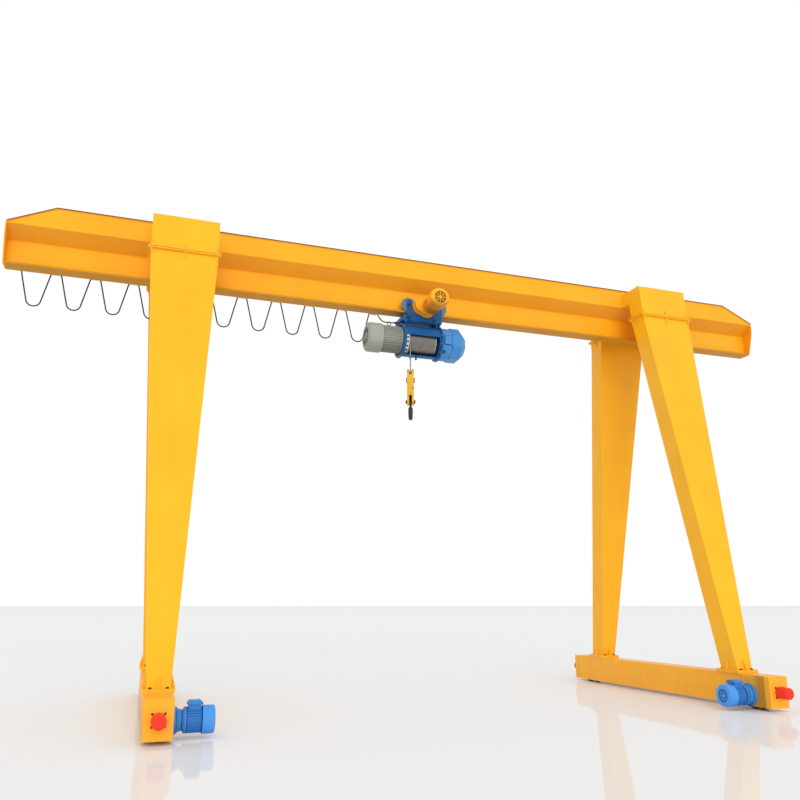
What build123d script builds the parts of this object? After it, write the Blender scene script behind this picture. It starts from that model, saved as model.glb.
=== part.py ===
from build123d import *
import os
from math import atan2, cos, pi, radians, sin, sqrt, tan

os.makedirs("parts", exist_ok=True)

# The frame: X runs along the girder, Y is the way the crane travels with the front at -Y,
# Z is up, and the origin is on the floor under the middle of the girder. All sizes are in millimetres.

# Girder: a plate box with sloping noses, welded on the web of a rolled beam
girder_length = 10000.0
girder_top = 5380.0
girder_width = 360.0
top_plate_thick = 12.0
top_plate_overhang = 12.0
side_plate_thick = 10.0
side_height = 250.0
slope_height = 125.0
beam_web_height = 285.0
beam_web_thick = 14.0
beam_web_rise = 60.0
beam_flange_width = 185.0
beam_flange_thick = 22.0
beam_root_radius = 14.0
nose_length = 500.0
nose_end_height = 20.0
end_plate_thick = 12.0

# Brackets: boxes shaped like an upside-down L that join the legs to the girder's sides
leg_spacing = 6260.0
leg_top_width = 720.0
leg_depth = 250.0
leg_plate_thick = 10.0
bracket_step = 80.0
bracket_height = 425.0
bracket_reach = 580.0
arm_height = 180.0
bracket_neck = 235.0
bracket_edge_radius = 28.0
joint_splay = 42.0
joint_flange_thick = 16.0
joint_flange_overhang = 28.0
gusset_thick = 12.0
gusset_height = 85.0
gusset_edge = 5.0

# Legs: tapered boxes that lean outwards down to the carriages
leg_foot_width = 204.0
foot_reach = 1455.0
foot_flange_width = 276.0
foot_flange_overhang = 48.0
foot_flange_thick = 18.0
foot_gusset_height = 110.0

# Carriages: box beams on two wheels each
carriage_length = 3840.0
carriage_width = 240.0
carriage_bottom = 32.0
carriage_plate_thick = 10.0
carriage_pad_thick = 18.0
wheel_inset = 300.0
wheel_tread_radius = 128.0
wheel_flange_height = 20.0
wheel_headroom = 49.0
wheel_width = 124.0
wheel_flange_thick = 20.0
wheel_hub_radius = 62.0
wheel_rim_thick = 24.0
wheel_disc_thick = 40.0
axle_radius = 30.0
axle_end_gap = 2.0
running_gap = 0.3
wheel_slot_gap = 14.0

# Buffers on the carriage ends
buffer_radius = 60.0
buffer_length = 145.0
buffer_edge_radius = 20.0
buffer_seat_width = 160.0
buffer_seat_thick = 8.0
buffer_seat_corner = 14.0

# Travel drives on the inner sides of the carriages
drive_flange_radius = 120.0
drive_flange_thick = 14.0
drive_cone_length = 40.0
drive_neck_radius = 90.0
drive_neck_length = 40.0
drive_groove_width = 10.0
drive_groove_depth = 8.0
drive_ring_radius = 107.0
drive_ring_thick = 24.0
drive_core_radius = 94.0
drive_fin_height = 12.0
drive_body_length = 125.0
drive_cover_radius = 116.0
drive_cover_length = 106.0
drive_cover_edge = 18.0
drive_grille_radius = 68.0
drive_fin_thick = 5.0
drive_fin_count = 28
drive_box_length = 104.0
drive_box_width = 100.0
drive_box_rise = 20.0
drive_lid_margin = 12.0
drive_lid_height = 34.0
drive_lid_chamfer = 20.0

# Guards in the ends of the fan covers: a ring and spokes in a round recess
guard_depth = 10.0
guard_bar = 7.0
guard_lift = 6.0
guard_spokes = 8
guard_hub_share = 0.3
guard_ring_share = 0.68

# Trolley on the lower flange of the girder
trolley_x = -150.0
trolley_wheel_spacing = 420.0
trolley_tread_radius = 75.0
trolley_tread_width = 44.0
trolley_flange_height = 20.0
trolley_flange_thick = 12.0
trolley_flange_gap = 5.5
trolley_axle_radius = 20.0
trolley_plate_thick = 12.0
trolley_plate_gap = 7.0
trolley_arm_width = 64.0
trolley_arm_shift = 8.0
trolley_arm_rise = 40.0
trolley_bar_height = 105.0
trolley_bar_foot = 36.0

# Trolley drive: a gear case on the front plate and a motor that points forwards
gear_case_radius = 86.0
gear_case_length = 96.0
gear_case_edge = 14.0
gear_rim_width = 9.0
gear_rim_thick = 16.0
gear_back = 66.0
gear_rise = 56.0
trolley_motor_shift = 23.0
trolley_motor_rise = 16.0
motor_seat_radius = 78.0
motor_seat_length = 60.0
trolley_core_radius = 98.0
trolley_fin_height = 12.0
trolley_body_length = 190.0
trolley_cover_radius = 122.0
trolley_cover_length = 150.0
trolley_cover_edge = 34.0
trolley_grille_radius = 72.0

# Hoist: drum shell, gearbox and motor in line along X under the trolley
shell_back = 298.0
shell_length = 516.0
shell_radius = 200.0
shell_thick = 8.0
ring_height = 26.0
ring_thick = 18.0
window_margin = 39.0
window_length = 439.0
window_up_angle = 8.0
window_down_angle = 76.0
gear_band_step = 8.0
gear_band_length = 130.0
gear_cap_step = 20.0
gear_cap_length = 204.0
gear_cap_taper_length = 76.0
gear_cap_taper_height = 84.0
gear_panel_length = 90.0
gear_panel_height = 120.0
gear_panel_depth = 12.0
hoist_motor_core = 154.0
hoist_fin_height = 16.0
hoist_motor_length = 240.0
hoist_motor_flange = 18.0
hoist_fin_thick = 7.0
hoist_fin_count = 36
fan_cover_radius = 185.0
fan_cover_length = 183.0
fan_cover_edge = 46.0
fan_grille_radius = 84.0
eye_ring_radius = 24.0
eye_ring_wire = 5.0
eye_base_radius = 17.0
eye_base_height = 12.0
drum_clearance = 42.0
drum_end_gap = 8.0
drum_gear_gap = 72.0
drum_shaft_radius = 34.0
drum_shaft_seat = 14.0
drum_flange_height = 14.0
drum_flange_thick = 10.0
guide_width = 38.0
guide_gap = 22.0

# Hanger that carries the hoist on two tie rods between the trolley plates
hanger_shift = 40.0
hanger_length = 540.0
hanger_gap = 36.0
hanger_base_thick = 14.0
hanger_wall_height = 72.0
hanger_wall_thick = 12.0
hanger_slant = 30.0
hanger_rib_height = 38.0
saddle_thick = 16.0
saddle_inset = 62.0
tie_rod_spacing = 340.0
tie_rod_radius = 16.0
tie_rod_rise = 34.0
tie_rod_nut_radius = 26.0
tie_rod_nut_thick = 16.0

# Rope, hook block and hook; the block is turned a little about the vertical
rope_radius = 6.5
rope_gap = 1.2
hook_back = 149.0
block_turn = 20.0
sheave_drop = 514.0
sheave_pitch_radius = 108.0
sheave_lip = 12.0
sheave_width = 36.0
sheave_hub_radius = 40.0
sheave_disc_thick = 16.0
sheave_lip_flare = 5.0
sheave_pin_radius = 22.0
pin_cap_radius = 33.0
pin_cap_thick = 11.0
block_thick = 84.0
block_wall = 11.0
block_rim_gap = 10.0
block_rim_thick = 10.0
block_foot_margin = 38.0
block_foot_width = 116.0
block_foot_radius = 24.0
rope_slot_width = 30.0
rope_slot_rise = 40.0
hook_slot_width = 34.0
hook_slot_length = 70.0
crosshead_drop = 280.0
crosshead_radius = 23.0
crosshead_length = 122.0
hook_shank_radius = 15.0
hook_nut_radius = 24.0
hook_nut_height = 50.0
hook_length = 236.0
hook_bowl_radius = 62.0
hook_thick = 57.0
hook_depth = 46.0
hook_tip_share = 0.55
hook_sweep = 275.0
hook_sections = 9
anchor_y = 150.0
anchor_rise = 35.0
anchor_length = 120.0
anchor_width = 34.0
anchor_depth = 34.0

# Cable track behind the girder with carriers and the looped cable
track_reach = 82.0
track_drop = 480.0
track_height = 36.0
track_width = 40.0
track_wall = 4.0
track_lip = 8.0
track_end_gap = 20.0
track_hanger_thick = 8.0
track_hanger_width = 60.0
track_hanger_rise = 30.0
track_hanger_count = 5
loop_count = 10
cable_drop = 52.0
cable_radius = 8.0
roller_length = 66.0
roller_width = 24.0
roller_height = 22.0
stem_width = 22.0
stem_thick = 6.0
stem_drop = 16.0
carrier_plate_width = 46.0
carrier_plate_gap = 6.0
carrier_saddle_radius = 41.0
carrier_saddle_drop = 55.0
carrier_saddle_width = 32.0
clamp_length = 30.0
clamp_inset = 36.0
clamp_lead = 225.0
clamp_grip = 16.0
tow_reach = 567.0
tow_bar_height = 26.0
tow_bar_thick = 10.0
tow_bar_step = 4.0
gland_radius = 15.0
gland_length = 26.0

# Levels and places that follow from the sizes above
half_girder = girder_length / 2
girder_inner = half_girder - end_plate_thick
nose_start = half_girder - nose_length
nose_drop = side_height - nose_end_height
half_width = girder_width / 2
top_under = girder_top - top_plate_thick
slope_top = girder_top - side_height
slope_bottom = slope_top - slope_height
flange_top = slope_bottom - beam_web_height
flange_bottom = flange_top - beam_flange_thick
bracket_top = girder_top - bracket_step
arm_bottom = bracket_top - arm_height
joint_height = bracket_top - bracket_height
joint_reach = bracket_reach + joint_splay
joint_centre = joint_reach - leg_depth / 2
wheel_flange_radius = wheel_tread_radius + wheel_flange_height
wheel_base = carriage_length - 2 * wheel_inset
axle_z = wheel_flange_radius
carriage_top = 2 * wheel_flange_radius + wheel_headroom + carriage_plate_thick
carriage_height = carriage_top - carriage_bottom
carriage_mid = carriage_bottom + carriage_height / 2
pad_top = carriage_top + carriage_pad_thick
foot_top = pad_top + foot_flange_thick
foot_centre = foot_reach - leg_depth / 2
trolley_axle_z = flange_top + trolley_tread_radius + running_gap
ring_radius = shell_radius + ring_height
hanger_wall_bottom = flange_bottom - hanger_gap - hanger_wall_height
hanger_base_z = hanger_wall_bottom - hanger_base_thick
hoist_z = hanger_base_z - ring_radius
tie_rod_z = hanger_wall_bottom + tie_rod_rise
shell_left = trolley_x - shell_back
shell_right = shell_left + shell_length
hanger_x = trolley_x - hanger_shift
hook_x = trolley_x - hook_back
sheave_z = hoist_z - sheave_drop
crosshead_z = sheave_z - crosshead_drop
track_y = half_width + track_reach
track_top = girder_top - track_drop
sides = {"front": -1, "rear": 1}
ends = {"left": -1, "right": 1}


def save(builder, name):
    """Label a finished piece and write it as its own file."""
    builder.part.label = name
    export_step(builder.part, f"parts/{name}.step")


def nose_z(x):
    """Height of the girder's top face at a place along it."""
    return girder_top - nose_drop * max(0.0, abs(x) - nose_start) / nose_length


def side_plane(x, side):
    """Upright plane across the girder: local x runs outwards to one side, local y runs up."""
    return Plane(origin=(x, 0, 0), x_dir=(0, side, 0), z_dir=(side, 0, 0))


def axis_plane(origin, direction):
    """Upright plane through a lying axis along X: local x runs along the axis, local y runs up."""
    return Plane(origin=origin, x_dir=(direction, 0, 0), z_dir=(0, -direction, 0))


# Girder top plate, bent down at both ends
with BuildPart() as top_plate:
    with BuildSketch(Plane.XZ):
        with BuildLine():
            Polyline(
                (-girder_inner, nose_z(girder_inner)),
                (-nose_start, girder_top),
                (nose_start, girder_top),
                (girder_inner, nose_z(girder_inner)),
                (girder_inner, nose_z(girder_inner) - top_plate_thick),
                (nose_start, top_under),
                (-nose_start, top_under),
                (-girder_inner, nose_z(girder_inner) - top_plate_thick),
                close=True,
            )
        make_face()
    extrude(amount=half_width + top_plate_overhang, both=True)
save(top_plate, "girder_top_plate")

# Girder side plates: upright above, then bent inwards to the beam's web
slope_angle = atan2(slope_height, half_width - beam_web_thick / 2)
slope_rise = side_plate_thick / cos(slope_angle)
inner_face = half_width - side_plate_thick
inner_bend = slope_top + slope_rise - side_plate_thick * tan(slope_angle)
for side_name, side in sides.items():
    with BuildPart() as side_plate:
        with BuildSketch(side_plane(0, side)):
            with BuildLine():
                Polyline(
                    (half_width, top_under),
                    (half_width, slope_top),
                    (beam_web_thick / 2, slope_bottom),
                    (beam_web_thick / 2, slope_bottom + slope_rise),
                    (inner_face, inner_bend),
                    (inner_face, top_under),
                    close=True,
                )
            make_face()
        extrude(amount=girder_inner, both=True)
        for end in ends.values():
            with BuildSketch(Plane.XZ):
                with BuildLine():
                    Polyline(
                        (end * nose_start, top_under),
                        (end * half_girder, nose_z(half_girder) - top_plate_thick),
                        (end * half_girder, girder_top),
                        (end * nose_start, girder_top),
                        close=True,
                    )
                make_face()
            extrude(amount=girder_width, both=True, mode=Mode.SUBTRACT)
    save(side_plate, f"girder_{side_name}_plate")

# Beam under the box: a web whose foot widens with the root radius
half_web = beam_web_thick / 2
half_root = half_web + beam_root_radius
root_top = flange_top + beam_root_radius
web_top = slope_bottom + beam_web_rise
with BuildPart() as web:
    with BuildSketch(Plane.YZ):
        with BuildLine():
            for way in (-1, 1):
                Line((way * half_web, web_top), (way * half_web, root_top))
                RadiusArc((way * half_web, root_top), (way * half_root, flange_top), way * beam_root_radius)
            Line((-half_root, flange_top), (half_root, flange_top))
            Line((-half_web, web_top), (half_web, web_top))
        make_face()
    extrude(amount=girder_inner, both=True)
save(web, "girder_web")

# Flange under the web, which the trolley runs on
with BuildPart() as flange:
    with BuildSketch(Plane.YZ):
        with Locations((0, flange_top - beam_flange_thick / 2)):
            Rectangle(beam_flange_width, beam_flange_thick)
    extrude(amount=girder_inner, both=True)
save(flange, "girder_flange")

# End plates that close the girder
for end_name, end in ends.items():
    with BuildPart() as end_plate:
        with BuildSketch(Plane.YZ.offset(end * girder_inner)):
            with BuildLine():
                Polyline(
                    (half_width, girder_top - nose_drop),
                    (half_width, slope_bottom),
                    (beam_flange_width / 2, flange_bottom),
                    (-beam_flange_width / 2, flange_bottom),
                    (-half_width, slope_bottom),
                    (-half_width, girder_top - nose_drop),
                    close=True,
                )
            make_face()
        extrude(amount=end * end_plate_thick)
    save(end_plate, f"girder_end_plate_{end_name}")


def gusset_triangle(plane, face, way, level, up, reach, height, shift):
    """One triangular stiffener: stands on a flange at a level, against a face that looks in one way."""
    with BuildSketch(plane) as triangle:
        with BuildLine():
            Polyline(
                (face - way * gusset_edge, level),
                (face + way * reach, level),
                (face + way * gusset_edge + shift, level + up * height),
                (face - way * gusset_edge + shift, level + up * height),
                close=True,
            )
        make_face()
    extrude(triangle.sketch, amount=gusset_thick / 2, both=True)


def flange_gussets(x, side, level, up, faces, half_x, places, overhang, height, lean, taper):
    """Stiffeners round a box column at a flange: some on its outer and inner faces, one on each other face.

    level is the flange's face, up is +1 above it or -1 below, faces are the column's outer and inner faces
    there, places are the X offsets of the first ones, and lean and taper are how far the column moves
    outwards and widens per unit of height."""
    outer, inner = faces
    reach = overhang - gusset_edge
    rise = up * height
    for face, way in ((outer, 1), (inner, -1)):
        for dx in places:
            gusset_triangle(side_plane(x + dx, side), face, way, level, up, reach, height, rise * lean)
    across = Plane.XZ.offset(-side * (outer + inner + rise * lean) / 2)
    for way in (-1, 1):
        gusset_triangle(across, x + way * half_x, way, level, up, reach, height, way * rise * taper)


# Brackets between girder and legs
bracket_lean = (bracket_reach - joint_reach) / (bracket_top - joint_height)
flange_x = leg_top_width + 2 * joint_flange_overhang
flange_y = leg_depth + 2 * joint_flange_overhang
joint_places = (-leg_top_width / 2 + gusset_thick, 0, leg_top_width / 2 - gusset_thick)
for side_name, side in sides.items():
    for end_name, end in ends.items():
        leg_x = end * leg_spacing / 2
        with BuildPart() as bracket:
            with BuildSketch(side_plane(leg_x, side)) as outline:
                with BuildLine():
                    Polyline(
                        (half_width, arm_bottom),
                        (bracket_reach - bracket_neck, arm_bottom),
                        (joint_reach - leg_depth, joint_height),
                        (joint_reach, joint_height),
                        (bracket_reach, bracket_top),
                        (half_width, bracket_top),
                        close=True,
                    )
                make_face()
                knee = outline.vertices().sort_by_distance((bracket_reach, bracket_top))[0]
                fillet(knee, bracket_edge_radius)
            extrude(amount=leg_top_width / 2, both=True)
            with BuildSketch(side_plane(leg_x, side)):
                add(outline.sketch_local)
                offset(amount=-leg_plate_thick, kind=Kind.INTERSECTION, mode=Mode.REPLACE)
            extrude(amount=leg_top_width / 2 - leg_plate_thick, both=True, mode=Mode.SUBTRACT)
            with BuildSketch(Plane.XY.offset(joint_height)):
                with Locations((leg_x, side * joint_centre)):
                    Rectangle(flange_x, flange_y)
            extrude(amount=joint_flange_thick)
            faces = (joint_reach + joint_flange_thick * bracket_lean, joint_reach - leg_depth)
            flange_gussets(
                leg_x, side, joint_height + joint_flange_thick, 1, faces, leg_top_width / 2, joint_places,
                joint_flange_overhang, gusset_height, bracket_lean, 0.0,
            )
        save(bracket, f"bracket_{side_name}_{end_name}")

# Legs with their top and foot flanges
leg_top = joint_height - joint_flange_thick
leg_lean = (joint_centre - foot_centre) / (leg_top - foot_top)
leg_taper = (leg_top_width - leg_foot_width) / 2 / (leg_top - foot_top)
for side_name, side in sides.items():
    for end_name, end in ends.items():
        leg_x = end * leg_spacing / 2
        with BuildPart() as leg:
            for wall, mode in ((0.0, Mode.ADD), (leg_plate_thick, Mode.SUBTRACT)):
                with BuildSketch(Plane.XY.offset(foot_top)):
                    with Locations((leg_x, side * foot_centre)):
                        Rectangle(leg_foot_width - 2 * wall, leg_depth - 2 * wall)
                with BuildSketch(Plane.XY.offset(leg_top)):
                    with Locations((leg_x, side * joint_centre)):
                        Rectangle(leg_top_width - 2 * wall, leg_depth - 2 * wall)
                loft(mode=mode)
            with BuildSketch(Plane.XY.offset(leg_top)):
                with Locations((leg_x, side * joint_centre)):
                    Rectangle(flange_x, flange_y)
            extrude(amount=joint_flange_thick)
            with BuildSketch(Plane.XY.offset(pad_top)):
                with Locations((leg_x, side * foot_centre)):
                    Rectangle(foot_flange_width, leg_depth + 2 * foot_flange_overhang)
            extrude(amount=foot_flange_thick)
            flange_gussets(
                leg_x, side, leg_top, -1, (joint_reach, joint_reach - leg_depth), leg_top_width / 2,
                joint_places, joint_flange_overhang, gusset_height, leg_lean, leg_taper,
            )
            flange_gussets(
                leg_x, side, foot_top, 1, (foot_reach, foot_reach - leg_depth), leg_foot_width / 2, (0,),
                foot_flange_overhang, foot_gusset_height, leg_lean, leg_taper,
            )
        save(leg, f"leg_{side_name}_{end_name}")

# Carriages: hollow beams, open below where the wheels come through
wheel_slot_half = sqrt(wheel_flange_radius**2 - (axle_z - carriage_bottom - carriage_plate_thick) ** 2)
for end_name, end in ends.items():
    leg_x = end * leg_spacing / 2
    with BuildPart() as carriage:
        with Locations((leg_x, 0, carriage_mid)):
            Box(carriage_width, carriage_length, carriage_height)
            Box(
                carriage_width - 2 * carriage_plate_thick,
                carriage_length - 2 * carriage_plate_thick,
                carriage_height - 2 * carriage_plate_thick,
                mode=Mode.SUBTRACT,
            )
        with BuildSketch(Plane.XY.offset(carriage_bottom)):
            with Locations((leg_x, -wheel_base / 2), (leg_x, wheel_base / 2)):
                Rectangle(wheel_width + 2 * wheel_slot_gap, 2 * (wheel_slot_half + wheel_slot_gap))
        extrude(amount=carriage_plate_thick, mode=Mode.SUBTRACT)
        with BuildSketch(Plane.YZ.offset(leg_x)):
            with Locations((-wheel_base / 2, axle_z), (wheel_base / 2, axle_z)):
                Circle(axle_radius + running_gap)
        extrude(amount=carriage_width / 2, both=True, mode=Mode.SUBTRACT)
        with BuildSketch(Plane.XY.offset(carriage_top)):
            with Locations((leg_x, -foot_centre), (leg_x, foot_centre)):
                Rectangle(foot_flange_width, leg_depth + 2 * foot_flange_overhang)
        extrude(amount=carriage_pad_thick)
        for side in sides.values():
            with BuildSketch(Plane.XZ.offset(-side * carriage_length / 2)):
                with Locations((leg_x, carriage_mid)):
                    RectangleRounded(buffer_seat_width, buffer_seat_width, buffer_seat_corner)
            extrude(amount=-side * buffer_seat_thick)
    save(carriage, f"carriage_{end_name}")

# Wheels with their axles
half_axle = carriage_width / 2 - axle_end_gap
half_wheel = wheel_width / 2
half_tread = half_wheel - wheel_flange_thick
rim_inner = wheel_tread_radius - wheel_rim_thick
for side_name, side in sides.items():
    for end_name, end in ends.items():
        centre = (end * leg_spacing / 2, side * wheel_base / 2, axle_z)
        with BuildPart() as wheel:
            with BuildSketch(axis_plane(centre, 1)):
                with BuildLine():
                    Polyline(
                        (0, 0),
                        (half_axle, 0),
                        (half_axle, axle_radius),
                        (half_wheel, axle_radius),
                        (half_wheel, wheel_hub_radius),
                        (wheel_disc_thick / 2, wheel_hub_radius),
                        (wheel_disc_thick / 2, rim_inner),
                        (half_wheel, rim_inner),
                        (half_wheel, wheel_flange_radius),
                        (half_tread, wheel_flange_radius),
                        (half_tread, wheel_tread_radius),
                        (0, wheel_tread_radius),
                        close=True,
                    )
                make_face()
            revolve(axis=Axis(centre, (1, 0, 0)))
            mirror(about=Plane.YZ.offset(centre[0]))
        save(wheel, f"wheel_{side_name}_{end_name}")

# Buffers: a rubber cylinder on the seat at each carriage end
seat_face = carriage_length / 2 + buffer_seat_thick
with BuildPart() as buffers:
    for side in sides.values():
        for end in ends.values():
            face = Plane(
                origin=(end * leg_spacing / 2, side * seat_face, carriage_mid),
                x_dir=(1, 0, 0),
                z_dir=(0, side, 0),
            )
            with BuildSketch(face):
                Circle(buffer_radius)
            extrude(amount=buffer_length)
    rims = [
        edge for edge in buffers.edges().filter_by(GeomType.CIRCLE)
        if abs(abs(edge.center().Y) - seat_face - buffer_length) < 1e-6
    ]
    fillet(rims, buffer_edge_radius)
save(buffers, "buffers")


def finned_motor(plane, core, fin_height, fin_thick, fin_count, length):
    """A motor body: a round core with radial cooling fins, extruded from a plane."""
    with BuildSketch(plane) as section:
        Circle(core)
        with PolarLocations(core + (fin_height - fin_thick) / 2, fin_count):
            Rectangle(fin_height + fin_thick, fin_thick)
    extrude(section.sketch, amount=length)


def fan_cover(plane, radius, length, edge, grille_radius):
    """A round fan cover with a rounded rim; its end has a recess with a guard of spokes, a ring and a hub."""
    with BuildSketch(plane) as section:
        Circle(radius)
    extrude(section.sketch, amount=length)
    rim = plane.offset(length).origin
    fillet([e for e in edges().filter_by(GeomType.CIRCLE) if (e.arc_center - rim).length < 1e-6], edge)
    with BuildSketch(plane.offset(length)) as recess:
        Circle(grille_radius)
    extrude(recess.sketch, amount=-guard_depth, mode=Mode.SUBTRACT)
    with BuildSketch(plane.offset(length - guard_depth)) as guard:
        Circle(guard_ring_share * grille_radius + guard_bar / 2)
        Circle(guard_ring_share * grille_radius - guard_bar / 2, mode=Mode.SUBTRACT)
        Circle(guard_hub_share * grille_radius)
        with PolarLocations(grille_radius / 2, guard_spokes):
            Rectangle(grille_radius, guard_bar)
    extrude(guard.sketch, amount=guard_lift)


# Travel drives: a coned reducer on the carriage, then a finned motor with a terminal box and a fan cover
cone_end = drive_flange_thick + drive_cone_length
neck_end = cone_end + drive_neck_length
groove_start = cone_end + (drive_neck_length - drive_groove_width) / 2
reducer_length = neck_end + drive_ring_thick
fin_radius = drive_core_radius + drive_fin_height
for end_name, end in ends.items():
    seat = (end * (leg_spacing / 2 - carriage_width / 2), -wheel_base / 2, axle_z)
    with BuildPart() as reducer:
        with BuildSketch(axis_plane(seat, -end)):
            with BuildLine():
                Polyline(
                    (0, 0),
                    (0, drive_flange_radius),
                    (drive_flange_thick, drive_flange_radius),
                    (cone_end, drive_neck_radius),
                    (groove_start, drive_neck_radius),
                    (groove_start, drive_neck_radius - drive_groove_depth),
                    (groove_start + drive_groove_width, drive_neck_radius - drive_groove_depth),
                    (groove_start + drive_groove_width, drive_neck_radius),
                    (neck_end, drive_neck_radius),
                    (neck_end, drive_ring_radius),
                    (reducer_length, drive_ring_radius),
                    (reducer_length, 0),
                    close=True,
                )
            make_face()
        revolve(axis=Axis(seat, (1, 0, 0)))
    save(reducer, f"travel_reducer_{end_name}")
    motor_x = seat[0] - end * reducer_length
    motor_base = Plane(origin=(motor_x, seat[1], axle_z), x_dir=(0, 1, 0), z_dir=(-end, 0, 0))
    with BuildPart() as travel_motor:
        finned_motor(
            motor_base, drive_core_radius, drive_fin_height, drive_fin_thick, drive_fin_count,
            drive_body_length,
        )
        fan_cover(
            motor_base.offset(drive_body_length), drive_cover_radius, drive_cover_length, drive_cover_edge,
            drive_grille_radius,
        )
        box_x = motor_x - end * drive_body_length / 2
        lid_z = axle_z + fin_radius + drive_box_rise
        with Locations((box_x, seat[1], lid_z)):
            Box(
                drive_box_length, drive_box_width, fin_radius - drive_core_radius + 2 * drive_box_rise,
                align=(Align.CENTER, Align.CENTER, Align.MAX),
            )
            Box(
                drive_box_length + 2 * drive_lid_margin,
                drive_box_width + 2 * drive_lid_margin,
                drive_lid_height,
                align=(Align.CENTER, Align.CENTER, Align.MIN),
            )
        chamfer(travel_motor.faces().sort_by(Axis.Z)[-1].edges(), drive_lid_chamfer)
    save(travel_motor, f"travel_motor_{end_name}")

# Trolley wheels: a tread on the beam's flange, a guiding flange outside it and an axle stub
tread_inner = beam_flange_width / 2 - trolley_tread_width
tread_outer = beam_flange_width / 2 + trolley_flange_gap
rim_outer = tread_outer + trolley_flange_thick
plate_inner = rim_outer + trolley_plate_gap
plate_outer = plate_inner + trolley_plate_thick
trolley_flange_radius = trolley_tread_radius + trolley_flange_height
for side_name, side in sides.items():
    for end_name, end in ends.items():
        wheel_x = trolley_x + end * trolley_wheel_spacing / 2
        with BuildPart() as trolley_wheel:
            with BuildSketch(side_plane(wheel_x, side)):
                with BuildLine():
                    Polyline(
                        (tread_inner, trolley_axle_z),
                        (tread_inner, trolley_axle_z + trolley_tread_radius),
                        (tread_outer, trolley_axle_z + trolley_tread_radius),
                        (tread_outer, trolley_axle_z + trolley_flange_radius),
                        (rim_outer, trolley_axle_z + trolley_flange_radius),
                        (rim_outer, trolley_axle_z + trolley_axle_radius),
                        (plate_outer, trolley_axle_z + trolley_axle_radius),
                        (plate_outer, trolley_axle_z),
                        close=True,
                    )
                make_face()
            revolve(axis=Axis((wheel_x, 0, trolley_axle_z), (0, 1, 0)))
        save(trolley_wheel, f"trolley_wheel_{side_name}_{end_name}")

# Trolley side plates: a bar with two round-topped arms, bored for the axles and the tie rods
tie_rod_places = [(hanger_x + end * tie_rod_spacing / 2, tie_rod_z) for end in ends.values()]
axle_places = [(trolley_x + end * trolley_wheel_spacing / 2, trolley_axle_z) for end in ends.values()]
arm_middle = trolley_wheel_spacing / 2 - trolley_arm_shift
arm_top = trolley_axle_z + trolley_arm_rise
bar_bottom = tie_rod_z - trolley_bar_foot
bar_length = 2 * arm_middle + trolley_arm_width
for side_name, side in sides.items():
    with BuildPart() as trolley_plate:
        with BuildSketch(Plane.XZ.offset(-side * plate_inner)):
            with Locations((trolley_x, bar_bottom + trolley_bar_height / 2)):
                Rectangle(bar_length, trolley_bar_height)
            for end in ends.values():
                arm_x = trolley_x + end * arm_middle
                with Locations((arm_x, (arm_top + bar_bottom) / 2)):
                    Rectangle(trolley_arm_width, arm_top - bar_bottom)
                with Locations((arm_x, arm_top)):
                    Circle(trolley_arm_width / 2)
            with Locations(*axle_places):
                Circle(trolley_axle_radius + running_gap, mode=Mode.SUBTRACT)
            with Locations(*tie_rod_places):
                Circle(tie_rod_radius, mode=Mode.SUBTRACT)
        extrude(amount=-side * trolley_plate_thick)
    save(trolley_plate, f"trolley_plate_{side_name}")

# Tie rods with nuts outside the plates
with BuildPart() as tie_rods:
    with BuildSketch(Plane.XZ):
        with Locations(*tie_rod_places):
            Circle(tie_rod_radius)
    extrude(amount=plate_outer + tie_rod_nut_thick, both=True)
    for side in sides.values():
        with BuildSketch(Plane.XZ.offset(-side * plate_outer)):
            with Locations(*tie_rod_places):
                RegularPolygon(tie_rod_nut_radius, 6)
        extrude(amount=-side * tie_rod_nut_thick)
save(tie_rods, "trolley_tie_rods")

# Trolley gear case on the front plate: a rounded case on a flat rim, with a seat for the motor
motor_x = trolley_x + trolley_motor_shift
motor_z = flange_top + trolley_motor_rise
gear_centres = [(trolley_x - gear_back, flange_top + gear_rise), (motor_x, motor_z)]
with BuildPart() as gear_case:
    gear_plane = Plane.XZ.offset(plate_outer)
    for radius, length in (
        (gear_case_radius + gear_rim_width, gear_rim_thick),
        (gear_case_radius, gear_case_length),
    ):
        with BuildSketch(gear_plane):
            with Locations(*gear_centres):
                Circle(radius)
            make_hull()
        extrude(amount=length)
    fillet(gear_case.faces().sort_by(Axis.Y)[0].edges(), gear_case_edge)
    with BuildSketch(gear_plane.offset(gear_case_length)):
        with Locations((motor_x, motor_z)):
            Circle(motor_seat_radius)
    extrude(amount=motor_seat_length)
save(gear_case, "trolley_gear_case")

# Trolley motor, pointing forwards from the gear case
with BuildPart() as trolley_motor:
    motor_face = Plane(
        origin=(motor_x, -(plate_outer + gear_case_length + motor_seat_length), motor_z),
        x_dir=(1, 0, 0),
        z_dir=(0, -1, 0),
    )
    finned_motor(
        motor_face, trolley_core_radius, trolley_fin_height, drive_fin_thick, drive_fin_count,
        trolley_body_length,
    )
    fan_cover(
        motor_face.offset(trolley_body_length), trolley_cover_radius, trolley_cover_length,
        trolley_cover_edge, trolley_grille_radius,
    )
save(trolley_motor, "trolley_motor")

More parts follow.
